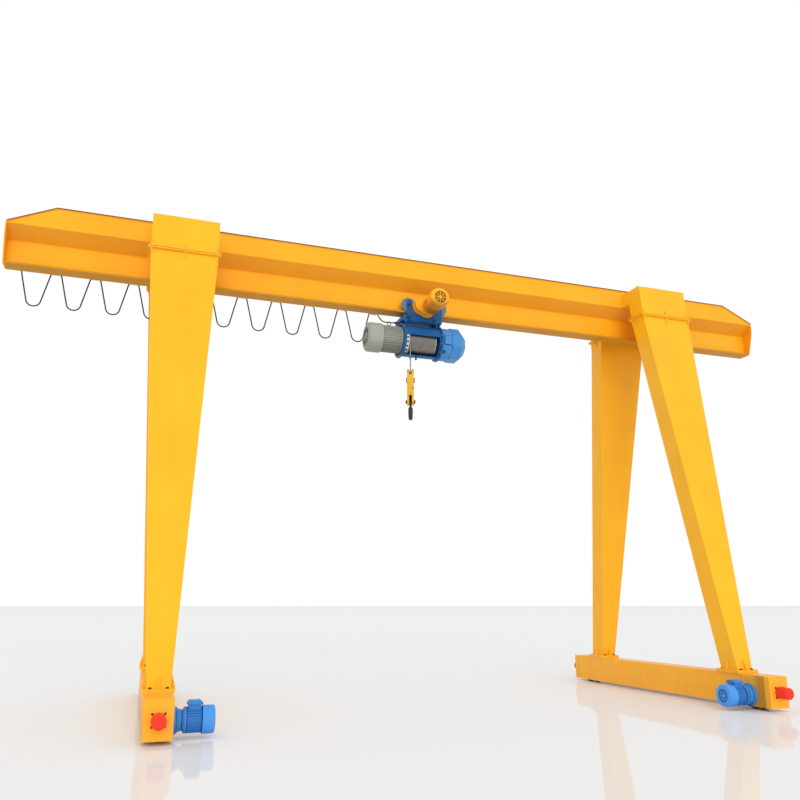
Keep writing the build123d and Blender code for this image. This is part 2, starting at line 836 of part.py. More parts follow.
# Hoist shell: a tube with end rings and a window at the lower front where the rope comes out
hoist_axis = Axis((0, 0, hoist_z), (1, 0, 0))
shell_inner = shell_radius - shell_thick
window_left = shell_left + window_margin
with BuildPart() as shell:
    with BuildSketch(axis_plane((0, 0, hoist_z), 1)):
        with BuildLine():
            Polyline(
                (shell_left, shell_inner),
                (shell_left, ring_radius),
                (shell_left + ring_thick, ring_radius),
                (shell_left + ring_thick, shell_radius),
                (shell_right - ring_thick, shell_radius),
                (shell_right - ring_thick, ring_radius),
                (shell_right, ring_radius),
                (shell_right, shell_inner),
                close=True,
            )
        make_face()
    revolve(axis=hoist_axis)
    reach = 2 * shell_radius
    up, down = radians(window_up_angle), radians(window_down_angle)
    with BuildSketch(Plane(origin=(window_left, 0, hoist_z), x_dir=(0, -1, 0), z_dir=(-1, 0, 0))):
        with BuildLine():
            Polyline(
                (0, 0),
                (reach * cos(up), reach * sin(up)),
                (reach, -reach),
                (reach * cos(down), -reach * sin(down)),
                close=True,
            )
        make_face()
    extrude(amount=-window_length, mode=Mode.SUBTRACT)
save(shell, "hoist_shell")

# Hanger on top of the shell: a base plate on two saddles, with two slant-ended walls for the tie rods
with BuildPart() as hanger:
    half_hanger = hanger_length / 2
    wall_top = hanger_wall_bottom + hanger_wall_height
    with BuildSketch(Plane.XY.offset(hanger_base_z)):
        with Locations((hanger_x, 0)):
            Rectangle(hanger_length, 2 * plate_inner)
    extrude(amount=hanger_base_thick)
    for side in sides.values():
        with BuildSketch(Plane.XZ.offset(-side * plate_inner)):
            with BuildLine():
                Polyline(
                    (hanger_x - half_hanger, hanger_wall_bottom),
                    (hanger_x + half_hanger, hanger_wall_bottom),
                    (hanger_x + half_hanger - hanger_slant, wall_top),
                    (hanger_x - half_hanger + hanger_slant, wall_top),
                    close=True,
                )
            make_face()
            with Locations(*tie_rod_places):
                Circle(tie_rod_radius, mode=Mode.SUBTRACT)
        extrude(amount=side * hanger_wall_thick)
        with BuildSketch(Plane.XY.offset(hanger_wall_bottom)):
            with Locations((hanger_x + side * (half_hanger - hanger_wall_thick / 2), 0)):
                Rectangle(hanger_wall_thick, 2 * plate_inner)
        extrude(amount=hanger_rib_height)
    for end in ends.values():
        saddle_x = hanger_x + end * (half_hanger - saddle_inset)
        with BuildSketch(Plane.YZ.offset(saddle_x)):
            with Locations((0, (hoist_z + hanger_base_z) / 2)):
                Rectangle(2 * plate_inner, hanger_base_z - hoist_z)
            with Locations((0, hoist_z)):
                Circle(shell_radius, mode=Mode.SUBTRACT)
        extrude(amount=saddle_thick / 2, both=True)
save(hanger, "hoist_hanger")

# Drum: flanged at both ends, on shafts seated in the gearbox and the motor flange
drum_left = shell_left + drum_end_gap
drum_right = shell_right - drum_gear_gap
drum_radius = shell_inner - drum_clearance
with BuildPart() as drum:
    with BuildSketch(axis_plane((0, 0, hoist_z), 1)):
        with BuildLine():
            Polyline(
                (shell_left - drum_shaft_seat, 0),
                (shell_left - drum_shaft_seat, drum_shaft_radius),
                (drum_left, drum_shaft_radius),
                (drum_left, drum_radius + drum_flange_height),
                (drum_left + drum_flange_thick, drum_radius + drum_flange_height),
                (drum_left + drum_flange_thick, drum_radius),
                (drum_right - drum_flange_thick, drum_radius),
                (drum_right - drum_flange_thick, drum_radius + drum_flange_height),
                (drum_right, drum_radius + drum_flange_height),
                (drum_right, drum_shaft_radius),
                (shell_right + drum_shaft_seat, drum_shaft_radius),
                (shell_right + drum_shaft_seat, 0),
                close=True,
            )
        make_face()
    revolve(axis=hoist_axis)
save(drum, "hoist_drum")

# Rope guide: a ring inside the shell at the window's left edge
guide_left = window_left + running_gap
guide_outer = shell_inner - running_gap
with BuildPart() as rope_guide:
    with BuildSketch(Plane.YZ.offset(guide_left)):
        with Locations((0, hoist_z)):
            Circle(guide_outer)
            Circle(drum_radius + guide_gap, mode=Mode.SUBTRACT)
    extrude(amount=guide_width)
save(rope_guide, "rope_guide")

# Gearbox: a round band with a raised panel at the front, then an eight-sided cap that tapers at its end
band_radius = shell_radius + gear_band_step
cap_plane = Plane.YZ.offset(shell_right + gear_band_length)
with BuildPart() as gearbox:
    with BuildSketch(Plane.YZ.offset(shell_right)):
        with Locations((0, hoist_z)):
            Circle(band_radius)
            Circle(drum_shaft_radius + running_gap, mode=Mode.SUBTRACT)
    extrude(amount=gear_band_length)
    taper_plane = cap_plane.offset(gear_cap_length - gear_cap_taper_length)
    with BuildSketch(cap_plane):
        with Locations((0, hoist_z)):
            RegularPolygon(shell_radius + gear_cap_step, 8, rotation=22.5)
    extrude(amount=gear_cap_length - gear_cap_taper_length)
    with BuildSketch(taper_plane):
        with Locations((0, hoist_z)):
            RegularPolygon(shell_radius + gear_cap_step, 8, rotation=22.5)
    with BuildSketch(taper_plane.offset(gear_cap_taper_length)):
        with Locations((0, hoist_z)):
            RegularPolygon(shell_radius + gear_cap_step - gear_cap_taper_height, 8, rotation=22.5)
    loft()
    with BuildSketch(Plane.XZ.offset(band_radius + gear_panel_depth)):
        with Locations((shell_right + gear_band_length / 2, hoist_z)):
            Rectangle(gear_panel_length, gear_panel_height)
    extrude(amount=-shell_radius / 2)
save(gearbox, "hoist_gearbox")

# Hoist motor: a flange on the shell, a finned body and an eye ring on top
with BuildPart() as hoist_motor:
    flange_plane = Plane(origin=(shell_left, 0, hoist_z), x_dir=(0, 1, 0), z_dir=(-1, 0, 0))
    with BuildSketch(flange_plane):
        Circle(hoist_motor_core + hoist_fin_height)
    extrude(amount=hoist_motor_flange)
    with BuildSketch(flange_plane):
        Circle(drum_shaft_radius + running_gap)
    extrude(amount=drum_shaft_seat + running_gap, mode=Mode.SUBTRACT)
    finned_motor(
        flange_plane.offset(hoist_motor_flange), hoist_motor_core, hoist_fin_height, hoist_fin_thick,
        hoist_fin_count, hoist_motor_length,
    )
    eye_base = (shell_left - hoist_motor_flange - hoist_motor_length / 2, 0, hoist_z + hoist_motor_core)
    eye_rise = hoist_fin_height + eye_base_height
    with Locations(eye_base):
        Cylinder(eye_base_radius, eye_rise, align=(Align.CENTER, Align.CENTER, Align.MIN))
    with Locations(Location(eye_base) * Location((0, 0, eye_rise + eye_ring_radius), (90, 0, 0))):
        Torus(eye_ring_radius, eye_ring_wire)
save(hoist_motor, "hoist_motor")

# Fan cover of the hoist motor
with BuildPart() as cover:
    cover_plane = flange_plane.offset(hoist_motor_flange + hoist_motor_length)
    fan_cover(cover_plane, fan_cover_radius, fan_cover_length, fan_cover_edge, fan_grille_radius)
save(cover, "hoist_fan_cover")

# Hook block frame: local x runs across the block, local y runs up, the sheave's axis is the normal
turn = radians(block_turn)
block_plane = Plane(
    origin=(hook_x, 0, 0), x_dir=(sin(turn), cos(turn), 0), z_dir=(cos(turn), -sin(turn), 0)
)
sheave_radius = sheave_pitch_radius + sheave_lip
cheek_radius = sheave_radius + block_rim_gap + block_rim_thick
block_bottom = crosshead_z - block_foot_margin


def block_outline(inset):
    """Outline of the block's cheeks: a round head about the sheave that narrows to a rounded foot."""
    foot = block_foot_width / 2 - block_foot_radius
    with Locations((0, sheave_z)):
        Circle(cheek_radius - inset)
    with Locations((-foot, block_bottom + block_foot_radius), (foot, block_bottom + block_foot_radius)):
        Circle(block_foot_radius - inset)
    make_hull()


# Hook block housing: two cheeks joined by a rim, open above for the rope and below for the hook
with BuildPart() as block:
    with BuildSketch(block_plane):
        block_outline(0.0)
    extrude(amount=block_thick / 2, both=True)
    with BuildSketch(block_plane):
        block_outline(block_rim_thick)
    extrude(amount=block_thick / 2 - block_wall, both=True, mode=Mode.SUBTRACT)
    for low, high, width in (
        (sheave_z + rope_slot_rise, sheave_z + 2 * cheek_radius, rope_slot_width),
        (block_bottom - block_foot_width, crosshead_z + hook_slot_length, hook_slot_width),
    ):
        with BuildSketch(block_plane):
            with Locations((0, (low + high) / 2)):
                Rectangle(4 * cheek_radius, high - low)
        extrude(amount=width / 2, both=True, mode=Mode.SUBTRACT)
    with BuildSketch(block_plane):
        with Locations((0, sheave_z)):
            Circle(sheave_pin_radius)
        with Locations((0, crosshead_z)):
            Circle(crosshead_radius)
    extrude(amount=block_thick, both=True, mode=Mode.SUBTRACT)
save(block, "hook_block")

# Sheave pin with caps outside the cheeks
with BuildPart() as sheave_pin:
    with BuildSketch(block_plane):
        with Locations((0, sheave_z)):
            Circle(sheave_pin_radius)
    extrude(amount=block_thick / 2, both=True)
    for way in (-1, 1):
        with BuildSketch(block_plane.offset(way * block_thick / 2)):
            with Locations((0, sheave_z)):
                Circle(pin_cap_radius)
        extrude(amount=way * pin_cap_thick)
save(sheave_pin, "sheave_pin")

# Sheave: a grooved rim, a disc and a hub, bored for the pin
groove_radius = rope_radius + running_gap
block_axis = Axis((hook_x, 0, sheave_z), (cos(turn), -sin(turn), 0))
with BuildPart() as sheave:
    sheave_plane = Plane(
        origin=(hook_x, 0, sheave_z), x_dir=(cos(turn), -sin(turn), 0), z_dir=(-sin(turn), -cos(turn), 0)
    )
    half_sheave = sheave_width / 2
    groove_floor = sheave_pitch_radius - groove_radius
    with BuildSketch(sheave_plane):
        with BuildLine():
            half_profile = [
                (half_sheave, sheave_pin_radius + running_gap),
                (half_sheave, sheave_hub_radius),
                (sheave_disc_thick / 2, sheave_hub_radius),
                (sheave_disc_thick / 2, groove_floor - sheave_disc_thick),
                (half_sheave, groove_floor),
                (half_sheave, sheave_radius),
                (groove_radius + sheave_lip_flare, sheave_radius),
                (groove_radius, sheave_pitch_radius),
            ]
            Polyline(*[(-x, r) for x, r in reversed(half_profile)], *half_profile)
            ThreePointArc(half_profile[-1], (0, groove_floor), (-groove_radius, sheave_pitch_radius))
        make_face()
    revolve(axis=block_axis)
save(sheave, "sheave")

# Crosshead that carries the hook
with BuildPart() as crosshead:
    with BuildSketch(block_plane):
        with Locations((0, crosshead_z)):
            Circle(crosshead_radius)
    extrude(amount=crosshead_length / 2, both=True)
    with BuildSketch(Plane.XY.offset(crosshead_z)):
        with Locations((hook_x, 0)):
            Circle(hook_shank_radius + running_gap)
    extrude(amount=crosshead_radius, both=True, mode=Mode.SUBTRACT)
save(crosshead, "hook_crosshead")

# Hook: a shank and nut on top, and a round bowl whose section shrinks towards the tip
bowl_z = crosshead_z - hook_length + hook_depth / 2 + hook_bowl_radius
with BuildPart() as hook:
    for i in range(hook_sections):
        share = i / (hook_sections - 1)
        angle = radians(90 + hook_sweep * share)
        size = 1 - (1 - hook_tip_share) * share**3
        centre = block_plane.from_local_coords(
            Vector(hook_bowl_radius * cos(angle), bowl_z + hook_bowl_radius * sin(angle), 0)
        )
        tangent = block_plane.x_dir * -sin(angle) + Vector(0, 0, cos(angle))
        with BuildSketch(Plane(origin=centre, x_dir=block_plane.z_dir, z_dir=tangent)):
            Ellipse(hook_thick / 2 * size, hook_depth / 2 * size)
    loft()
    shank_bottom = bowl_z + hook_bowl_radius - hook_depth / 4
    with BuildSketch(Plane.XY.offset(shank_bottom)):
        with Locations((hook_x, 0)):
            Circle(hook_shank_radius)
    extrude(amount=crosshead_z + crosshead_radius + hook_nut_height - shank_bottom)
    with BuildSketch(Plane.XY.offset(crosshead_z + crosshead_radius + running_gap)):
        with Locations((hook_x, 0)):
            RegularPolygon(hook_nut_radius, 6)
    extrude(amount=hook_nut_height)
save(hook, "hook")

# Rope anchor on the rear of the shell, where the standing end of the rope is held
anchor_bottom = hoist_z - shell_radius + anchor_rise
with BuildPart() as anchor:
    anchor_x = hook_x + anchor_y * tan(turn)
    with Locations((anchor_x, anchor_y, anchor_bottom)):
        Box(anchor_width, anchor_depth, anchor_length, align=(Align.CENTER, Align.CENTER, Align.MIN))
    with Locations(Location((anchor_x, 0, hoist_z), (0, 90, 0))):
        Cylinder(shell_radius, 2 * anchor_width, mode=Mode.SUBTRACT)
save(anchor, "rope_anchor")


def tangent_angle(start_x, start_z, radius, way):
    """Angle on a circle about the origin where a line from a point above touches it, on one side."""
    distance = sqrt(start_x**2 + start_z**2)
    return atan2(start_z, start_x) - way * atan2(sqrt(distance**2 - radius**2), radius)


# Rope: from the drum's front down round the sheave and up to the anchor
with BuildPart() as rope:
    drum_pitch_radius = drum_radius + rope_radius + rope_gap
    front_top = (-drum_pitch_radius / cos(turn), hoist_z)
    rear_top = (anchor_y / cos(turn), anchor_bottom - rope_gap)
    touch = []
    for (x, z), way in ((front_top, -1), (rear_top, 1)):
        angle = tangent_angle(x, z - sheave_z, sheave_pitch_radius, way)
        touch.append((sheave_pitch_radius * cos(angle), sheave_z + sheave_pitch_radius * sin(angle)))
    with BuildLine(block_plane) as rope_line:
        Line(front_top, touch[0])
        ThreePointArc(touch[0], (0, sheave_z - sheave_pitch_radius), touch[1])
        Line(touch[1], rear_top)
    with BuildSketch(Plane(origin=rope_line.line @ 0, z_dir=rope_line.line % 0)):
        Circle(rope_radius)
    sweep(path=rope_line.line)
save(rope, "hoist_rope")

# Cable track: a C-shaped rail with its slot below, from end to end of the girder
track_bottom = track_top - track_height
track_half = girder_inner - track_end_gap
track_hanger_level = slope_top + track_hanger_rise
with BuildPart() as track:
    with BuildSketch(Plane.YZ):
        with Locations((track_y, track_top - track_height / 2)):
            Rectangle(track_width, track_height)
            Rectangle(track_width - 2 * track_wall, track_height - 2 * track_wall, mode=Mode.SUBTRACT)
        with Locations((track_y, track_bottom + track_wall / 2)):
            Rectangle(track_width - 2 * track_wall - 2 * track_lip, track_wall, mode=Mode.SUBTRACT)
    extrude(amount=track_half, both=True)
save(track, "cable_track")

# Track hangers: bent straps from the girder's rear side down to the track
with BuildPart() as track_hangers:
    hanger_pitch = 2 * (track_half - track_hanger_width) / (track_hanger_count - 1)
    for i in range(track_hanger_count):
        strap_x = -track_half + track_hanger_width + i * hanger_pitch
        with BuildSketch(side_plane(strap_x, 1)):
            with BuildLine():
                Polyline(
                    (half_width, track_hanger_level),
                    (track_y + track_hanger_thick / 2, track_hanger_level),
                    (track_y + track_hanger_thick / 2, track_top),
                    (track_y - track_hanger_thick / 2, track_top),
                    (track_y - track_hanger_thick / 2, track_hanger_level - track_hanger_thick),
                    (half_width, track_hanger_level - track_hanger_thick),
                    close=True,
                )
            make_face()
        extrude(amount=track_hanger_width / 2, both=True)
save(track_hangers, "track_hangers")

# Cable carriers: a roller block in the track, a stem through its slot and a round saddle under the cable
roller_z = track_bottom + track_wall + running_gap
plate_z = track_bottom - stem_drop
cable_top = track_bottom - cable_drop
saddle_z = cable_top - carrier_saddle_drop
cable_side = cable_radius + carrier_plate_gap
clamp_x = -track_half + clamp_inset
tow_x = trolley_x - tow_reach
first_loop_x = clamp_x + clamp_lead
loop_pitch = (tow_x - first_loop_x) / (loop_count - 0.5)


def carrier(x):
    """One carrier at a place along the track."""
    with Locations((x, track_y, roller_z)):
        Box(roller_length, roller_width, roller_height, align=(Align.CENTER, Align.CENTER, Align.MIN))
    with Locations((x, track_y, plate_z)):
        Box(stem_width, stem_thick, roller_z - plate_z, align=(Align.CENTER, Align.CENTER, Align.MIN))
    top_left = (Align.CENTER, Align.MAX, Align.MAX)
    with Locations((x, track_y + stem_thick / 2, plate_z)):
        Box(carrier_plate_width, cable_side + 2 * stem_thick, stem_thick, align=top_left)
    with Locations((x, track_y - cable_side, plate_z - stem_thick)):
        Box(carrier_plate_width, stem_thick, plate_z - stem_thick - saddle_z, align=top_left)
    with BuildSketch(Plane.XZ.offset(cable_side + stem_thick - track_y)) as saddle:
        with Locations((x, saddle_z)):
            Circle(carrier_saddle_radius)
        with Locations((x, saddle_z - carrier_saddle_radius)):
            Rectangle(2 * carrier_saddle_radius, 2 * carrier_saddle_radius, mode=Mode.SUBTRACT)
    extrude(saddle.sketch, amount=-carrier_saddle_width)


with BuildPart() as carriers:
    for i in range(loop_count - 1):
        carrier(first_loop_x + loop_pitch * (i + 0.5))
save(carriers, "cable_carriers")

# Clamp that holds the fixed end of the cable at the track's left end
with BuildPart() as clamp:
    with Locations((clamp_x, track_y, track_bottom)):
        Box(
            clamp_length, track_width, track_bottom - cable_top + clamp_grip + cable_radius,
            align=(Align.MAX, Align.CENTER, Align.MAX),
        )
save(clamp, "cable_end_clamp")

# Tow arm on the rear trolley plate with the carrier that leads the cable
tow_bar_top = plate_z + tow_bar_step
with BuildPart() as tow_arm:
    carrier(tow_x)
    bar_end = trolley_x - arm_middle
    with Locations((tow_x - carrier_plate_width / 2, plate_outer, tow_bar_top)):
        Box(
            bar_end - tow_x + carrier_plate_width / 2, tow_bar_thick, tow_bar_height,
            align=(Align.MIN, Align.MIN, Align.MAX),
        )
    with Locations((tow_x, plate_outer, tow_bar_top)):
        Box(
            carrier_plate_width, track_y - cable_side - plate_outer, tow_bar_thick,
            align=(Align.CENTER, Align.MIN, Align.MAX),
        )
save(tow_arm, "cable_tow_arm")

# Gland on the hanger's left rib, where the cable enters the hoist
gland_x = hanger_x - hanger_length / 2
gland_y = plate_inner - hanger_wall_thick - 2 * gland_radius
gland_z = hanger_wall_bottom + gland_radius
with BuildPart() as gland:
    with BuildSketch(Plane(origin=(gland_x, gland_y, gland_z), x_dir=(0, 1, 0), z_dir=(-1, 0, 0))):
        RegularPolygon(gland_radius, 6)
    extrude(amount=gland_length)
save(gland, "cable_gland")

# Cable: hangs in loops between the carriers, then drops from the tow arm to the gland
loop_side = [(160, -24), (70, -403), (49, -429), (18, -444)]
lead_down = [(48, 0, -22), (72, -12, -77), (85, -57, -132), (102, -112, -180), (132, -162, -202)]
lead_in = [(-clamp_lead, -6), (-183, -6), (-152, -34)]
gland_run = 54.0
cable_points = [Vector(first_loop_x + dx, track_y, cable_top + dz) for dx, dz in lead_in]
for i in range(loop_count):
    loop_x = first_loop_x + loop_pitch * i
    way_down = loop_side if i else loop_side[1:]
    cable_points += [Vector(loop_x - dx, track_y, cable_top + dz) for dx, dz in way_down]
    cable_points += [Vector(loop_x + dx, track_y, cable_top + dz) for dx, dz in reversed(loop_side)]
    cable_points.append(Vector(loop_x + loop_pitch / 2, track_y, cable_top))
cable_points += [Vector(tow_x + dx, track_y + dy, cable_top + dz) for dx, dy, dz in lead_down]
cable_end = gland_x - gland_length
cable_points += [Vector(cable_end - gland_run, gland_y, gland_z), Vector(cable_end, gland_y, gland_z)]


def corner_radius(before, corner, after):
    """The largest arc that a corner's two runs leave room for."""
    run_in, run_out = corner - before, after - corner
    return 0.45 * min(run_in.length, run_out.length) / tan(radians(run_in.get_angle(run_out)) / 2)


cable_radii = [corner_radius(*cable_points[i:i + 3]) for i in range(len(cable_points) - 2)]
with BuildPart() as cable:
    with BuildLine() as route:
        FilletPolyline(*cable_points, radius=cable_radii)
    with BuildSketch(Plane(origin=route.line @ 0, z_dir=route.line % 0)):
        Circle(cable_radius)
    sweep(path=route.line)
save(cable, "looped_cable")
print("cable radii", sorted(round(r) for r in cable_radii)[:12], "smallest first")
cable_length = route.wire().length
print("cable length", round(cable_length))
print("cable volume share", round(cable.part.volume / (pi * cable_radius**2 * cable_length), 4))
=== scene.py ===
"""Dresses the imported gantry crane: paint, steel and rubber finishes, the looped cable and its carriers,
the reeved rope, bolts, welds and fan openings, on a pale floor in soft light."""

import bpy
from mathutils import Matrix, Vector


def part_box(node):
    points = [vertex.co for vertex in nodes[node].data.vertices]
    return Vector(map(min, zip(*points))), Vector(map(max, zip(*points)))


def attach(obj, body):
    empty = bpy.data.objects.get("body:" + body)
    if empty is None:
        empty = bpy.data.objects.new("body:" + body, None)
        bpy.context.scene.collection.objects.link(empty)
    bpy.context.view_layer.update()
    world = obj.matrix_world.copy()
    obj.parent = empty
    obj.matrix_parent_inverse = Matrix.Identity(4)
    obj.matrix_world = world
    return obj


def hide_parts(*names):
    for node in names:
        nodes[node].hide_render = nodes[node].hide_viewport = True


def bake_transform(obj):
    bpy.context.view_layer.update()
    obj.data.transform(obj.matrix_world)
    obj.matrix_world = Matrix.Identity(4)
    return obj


bl_info = {
    "name": "Gantry crane dressing",
    "version": (1, 0, 0),
    "blender": (4, 5, 0),
    "location": "View3D > Sidebar > Crane",
    "description": "Finishes, cable, rope and small fittings of a single-girder gantry crane",
    "category": "Object",
}

from math import cos, pi, radians, sin, sqrt

import bpy
import numpy as np
from mathutils import Vector

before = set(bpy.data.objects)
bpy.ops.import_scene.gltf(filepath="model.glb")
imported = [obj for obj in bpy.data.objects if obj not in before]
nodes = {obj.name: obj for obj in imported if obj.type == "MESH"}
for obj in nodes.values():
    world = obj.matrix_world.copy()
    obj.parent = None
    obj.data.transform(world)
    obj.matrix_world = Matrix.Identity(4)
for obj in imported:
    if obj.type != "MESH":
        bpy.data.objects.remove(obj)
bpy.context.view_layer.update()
SIDES = {"front": -1, "rear": 1}
ENDS = {"left": -1, "right": 1}

# Places of the part that several fittings share, in metres
HOIST_Z = 4.350
CARRIAGE_X, CARRIAGE_HALF = 3.130, 0.120
DRIVE_Z, BUFFER_Z = 0.148, 0.1935
JOINT_Y, JOINT_Z, JOINT_FLANGE = 0.497, 4.875, 0.016
FOOT_Y, FOOT_FLANGE = 1.330, 0.018
PANEL_X, CAP_X = 0.065, 0.131


def pairs(first, second):
    """All pairs of one offset from each of two rows."""
    return [(a, b) for a in first for b in second]


def low_high(node):
    """The lowest and highest corners of a node's box, as arrays."""
    return tuple(np.array(corner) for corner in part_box(node))


# Grids and meshes


def grid_faces(rows, columns):
    """Quads between neighbouring rows of a grid whose columns close into rings."""
    row, column = np.meshgrid(np.arange(rows - 1), np.arange(columns), indexing="ij")
    beside = (column + 1) % columns
    start, after = row * columns, (row + 1) * columns
    corners = [start + column, start + beside, after + beside, after + column]
    return np.stack(corners, -1).reshape(-1, 4)


def turned_out(points):
    """For each copy of a grid, whether its rings turn anticlockwise about the way that they are swept."""
    centre = points.mean(2)
    spokes = points - centre[:, :, None]
    area = np.cross(spokes, np.roll(spokes, -1, 2)).sum(2)
    return (area[:, :-1] * np.diff(centre, axis=1)).sum((1, 2)) > 0


def make_piece(name, grids, finish, sharp=38.0):
    """One mesh object from grids[copy, row, column, xyz]: rings joined by quads, both end rings closed."""
    vertices, faces, count = [], [], 0
    for points in grids:
        rows, columns = points.shape[1:3]
        quads = grid_faces(rows, columns)
        last = (rows - 1) * columns + np.arange(columns)
        ends = [np.arange(columns)[::-1].tolist(), last.tolist()]
        for outward in turned_out(points):
            step = 1 if outward else -1
            faces += (quads[:, ::step] + count).tolist()
            faces += [[i + count for i in end[::step]] for end in ends]
            count += rows * columns
        vertices.append(points.reshape(-1, 3))
    mesh = bpy.data.meshes.new(name)
    mesh.from_pydata(np.concatenate(vertices), [], faces)
    mesh.shade_smooth()
    mesh.set_sharp_from_angle(angle=radians(sharp))
    mesh.materials.append(FINISHES[finish])
    made = bpy.data.objects.new(name, mesh)
    bpy.context.scene.collection.objects.link(made)
    return made


def full_turn(count):
    """The angles of a full turn in equal steps."""
    return np.arange(count) * 2 * pi / count


def circle(radius, angle):
    """Points at these angles about the origin; the radius may change with the angle."""
    return np.stack([radius * np.cos(angle), radius * np.sin(angle)], -1)


def upright_circle(centre, radius, angle, level):
    """Places on an upright circle about a centre; level is its level axis, 0 for X or 1 for Y."""
    places = np.tile(np.array(centre, float), (len(angle), 1))
    places[:, [level, 2]] += circle(radius, angle)
    return places


def across(axes):
    """Two unit vectors at right angles to each axis and to each other."""
    axes = np.atleast_2d(np.asarray(axes, float))
    upright = np.abs(axes[:, 2:]) > 0.9
    reference = np.where(upright, [[1.0, 0.0, 0.0]], [[0.0, 0.0, 1.0]])
    first = np.cross(reference, axes)
    first /= np.linalg.norm(first, axis=1, keepdims=True)
    return first, np.cross(axes, first)


def turned(profile, places, axes, columns=24, shape=None):
    """Profile rows (radius, height) spun about an axis at each place; shape scales the radius by column."""
    places, axes = np.atleast_2d(places), np.atleast_2d(np.asarray(axes, float))
    axes = np.broadcast_to(axes, places.shape)
    first, second = across(axes)
    radius, height = np.array(profile, float).T
    reach = radius[:, None] * (np.ones(columns) if shape is None else shape)
    ring = circle(reach, full_turn(columns))
    return (
        places[:, None, None] + height[None, :, None, None] * axes[:, None, None]
        + ring[None, ..., :1] * first[:, None, None] + ring[None, ..., 1:] * second[:, None, None]
    )


def bolt_heads(places, axes, size):
    """Bolts: a round washer, a head whose six flats dip to cos 30 of its corners, and a chamfered top."""
    six_sided = np.where(np.arange(12) % 2, cos(pi / 6), 1.0)
    round_row = np.ones(12)
    shape = np.stack([round_row, round_row, six_sided, six_sided, round_row])
    profile = np.array([(1.0, 0.0), (1.0, 0.2), (0.84, 0.2), (0.84, 0.74), (0.66, 0.82)]) * size
    return turned(profile, places, axes, 12, shape)


def blocks(lows, highs, bevel):
    """Boxes with bevelled edges: an eight-cornered ring is drawn in at both ends by the bevel."""
    lows, highs = np.atleast_2d(lows).astype(float), np.atleast_2d(highs).astype(float)
    half, centre = (highs - lows) / 2, (highs + lows) / 2
    corner_x = np.array([1, 1, 1, -1, -1, -1, -1, 1])
    corner_y = np.array([-1, 1, 1, 1, 1, -1, -1, -1])
    cut_x = np.array([0, 0, 1, 1, 0, 0, 1, 1])
    cut_y = 1 - cut_x
    inset = np.array([bevel, 0.0, 0.0, bevel])
    up = np.array([-1, -1, 1, 1])
    lift = np.array([0.0, bevel, -bevel, 0.0])
    x = corner_x * (half[:, :1, None] - inset[None, :, None] - bevel * cut_x)
    y = corner_y * (half[:, 1:2, None] - inset[None, :, None] - bevel * cut_y)
    z = np.broadcast_to((up * half[:, 2:] + lift)[:, :, None], x.shape)
    return np.stack([x, y, z], -1) + centre[:, None, None]


def carried(path, section, reference):
    """A section carried along a path: x along tangent cross reference, y at right angles to both."""
    tangent = np.gradient(path, axis=0)
    tangent /= np.linalg.norm(tangent, axis=1, keepdims=True)
    side = np.cross(tangent, reference)
    side /= np.linalg.norm(side, axis=1, keepdims=True)
    up = np.cross(side, tangent)
    section = np.broadcast_to(section, (len(path),) + section.shape[-2:])
    return (path[:, None] + section[..., :1] * side[:, None] + section[..., 1:] * up[:, None])[None]


def weld_beads(starts, ends, radius, pitch=0.009, columns=6):
    """Weld beads: straight tubes whose radius swells once per ripple, 1 + 0.14 cos(2 pi s / pitch)."""
    starts, ends = np.atleast_2d(starts).astype(float), np.atleast_2d(ends).astype(float)
    span = ends - starts
    length = np.linalg.norm(span, axis=1)
    rows = max(8, int(3 * length.max() / pitch))
    share = np.linspace(0, 1, rows)
    first, second = across(span / length[:, None])
    swell = radius * (1 + 0.14 * np.cos(2 * pi * share[None] * length[:, None] / pitch))
    unit = circle(1.0, full_turn(columns))
    ring = unit[:, :1] * first[:, None] + unit[:, 1:] * second[:, None]
    line = starts[:, None] + share[None, :, None] * span[:, None]
    return line[:, :, None] + swell[:, :, None, None] * ring[:, None]


# Finishes


class Wire:
    """A shader socket that takes part in Python sums; each sum adds a Math node."""

    def __init__(self, finish, socket):
        self.finish = finish
        self.socket = socket

    def math(self, operation, first, second):
        return self.finish.node("ShaderNodeMath", {"operation": operation}, {0: first, 1: second})

    def __add__(self, other):
        return self.math("ADD", self, other)

    def __sub__(self, other):
        return self.math("SUBTRACT", self, other)

    def __rsub__(self, other):
        return self.math("SUBTRACT", other, self)

    def __mul__(self, other):
        return self.math("MULTIPLY", self, other)

    def __abs__(self):
        return self.math("ABSOLUTE", self, 0.0)

    __radd__ = __add__
    __rmul__ = __mul__


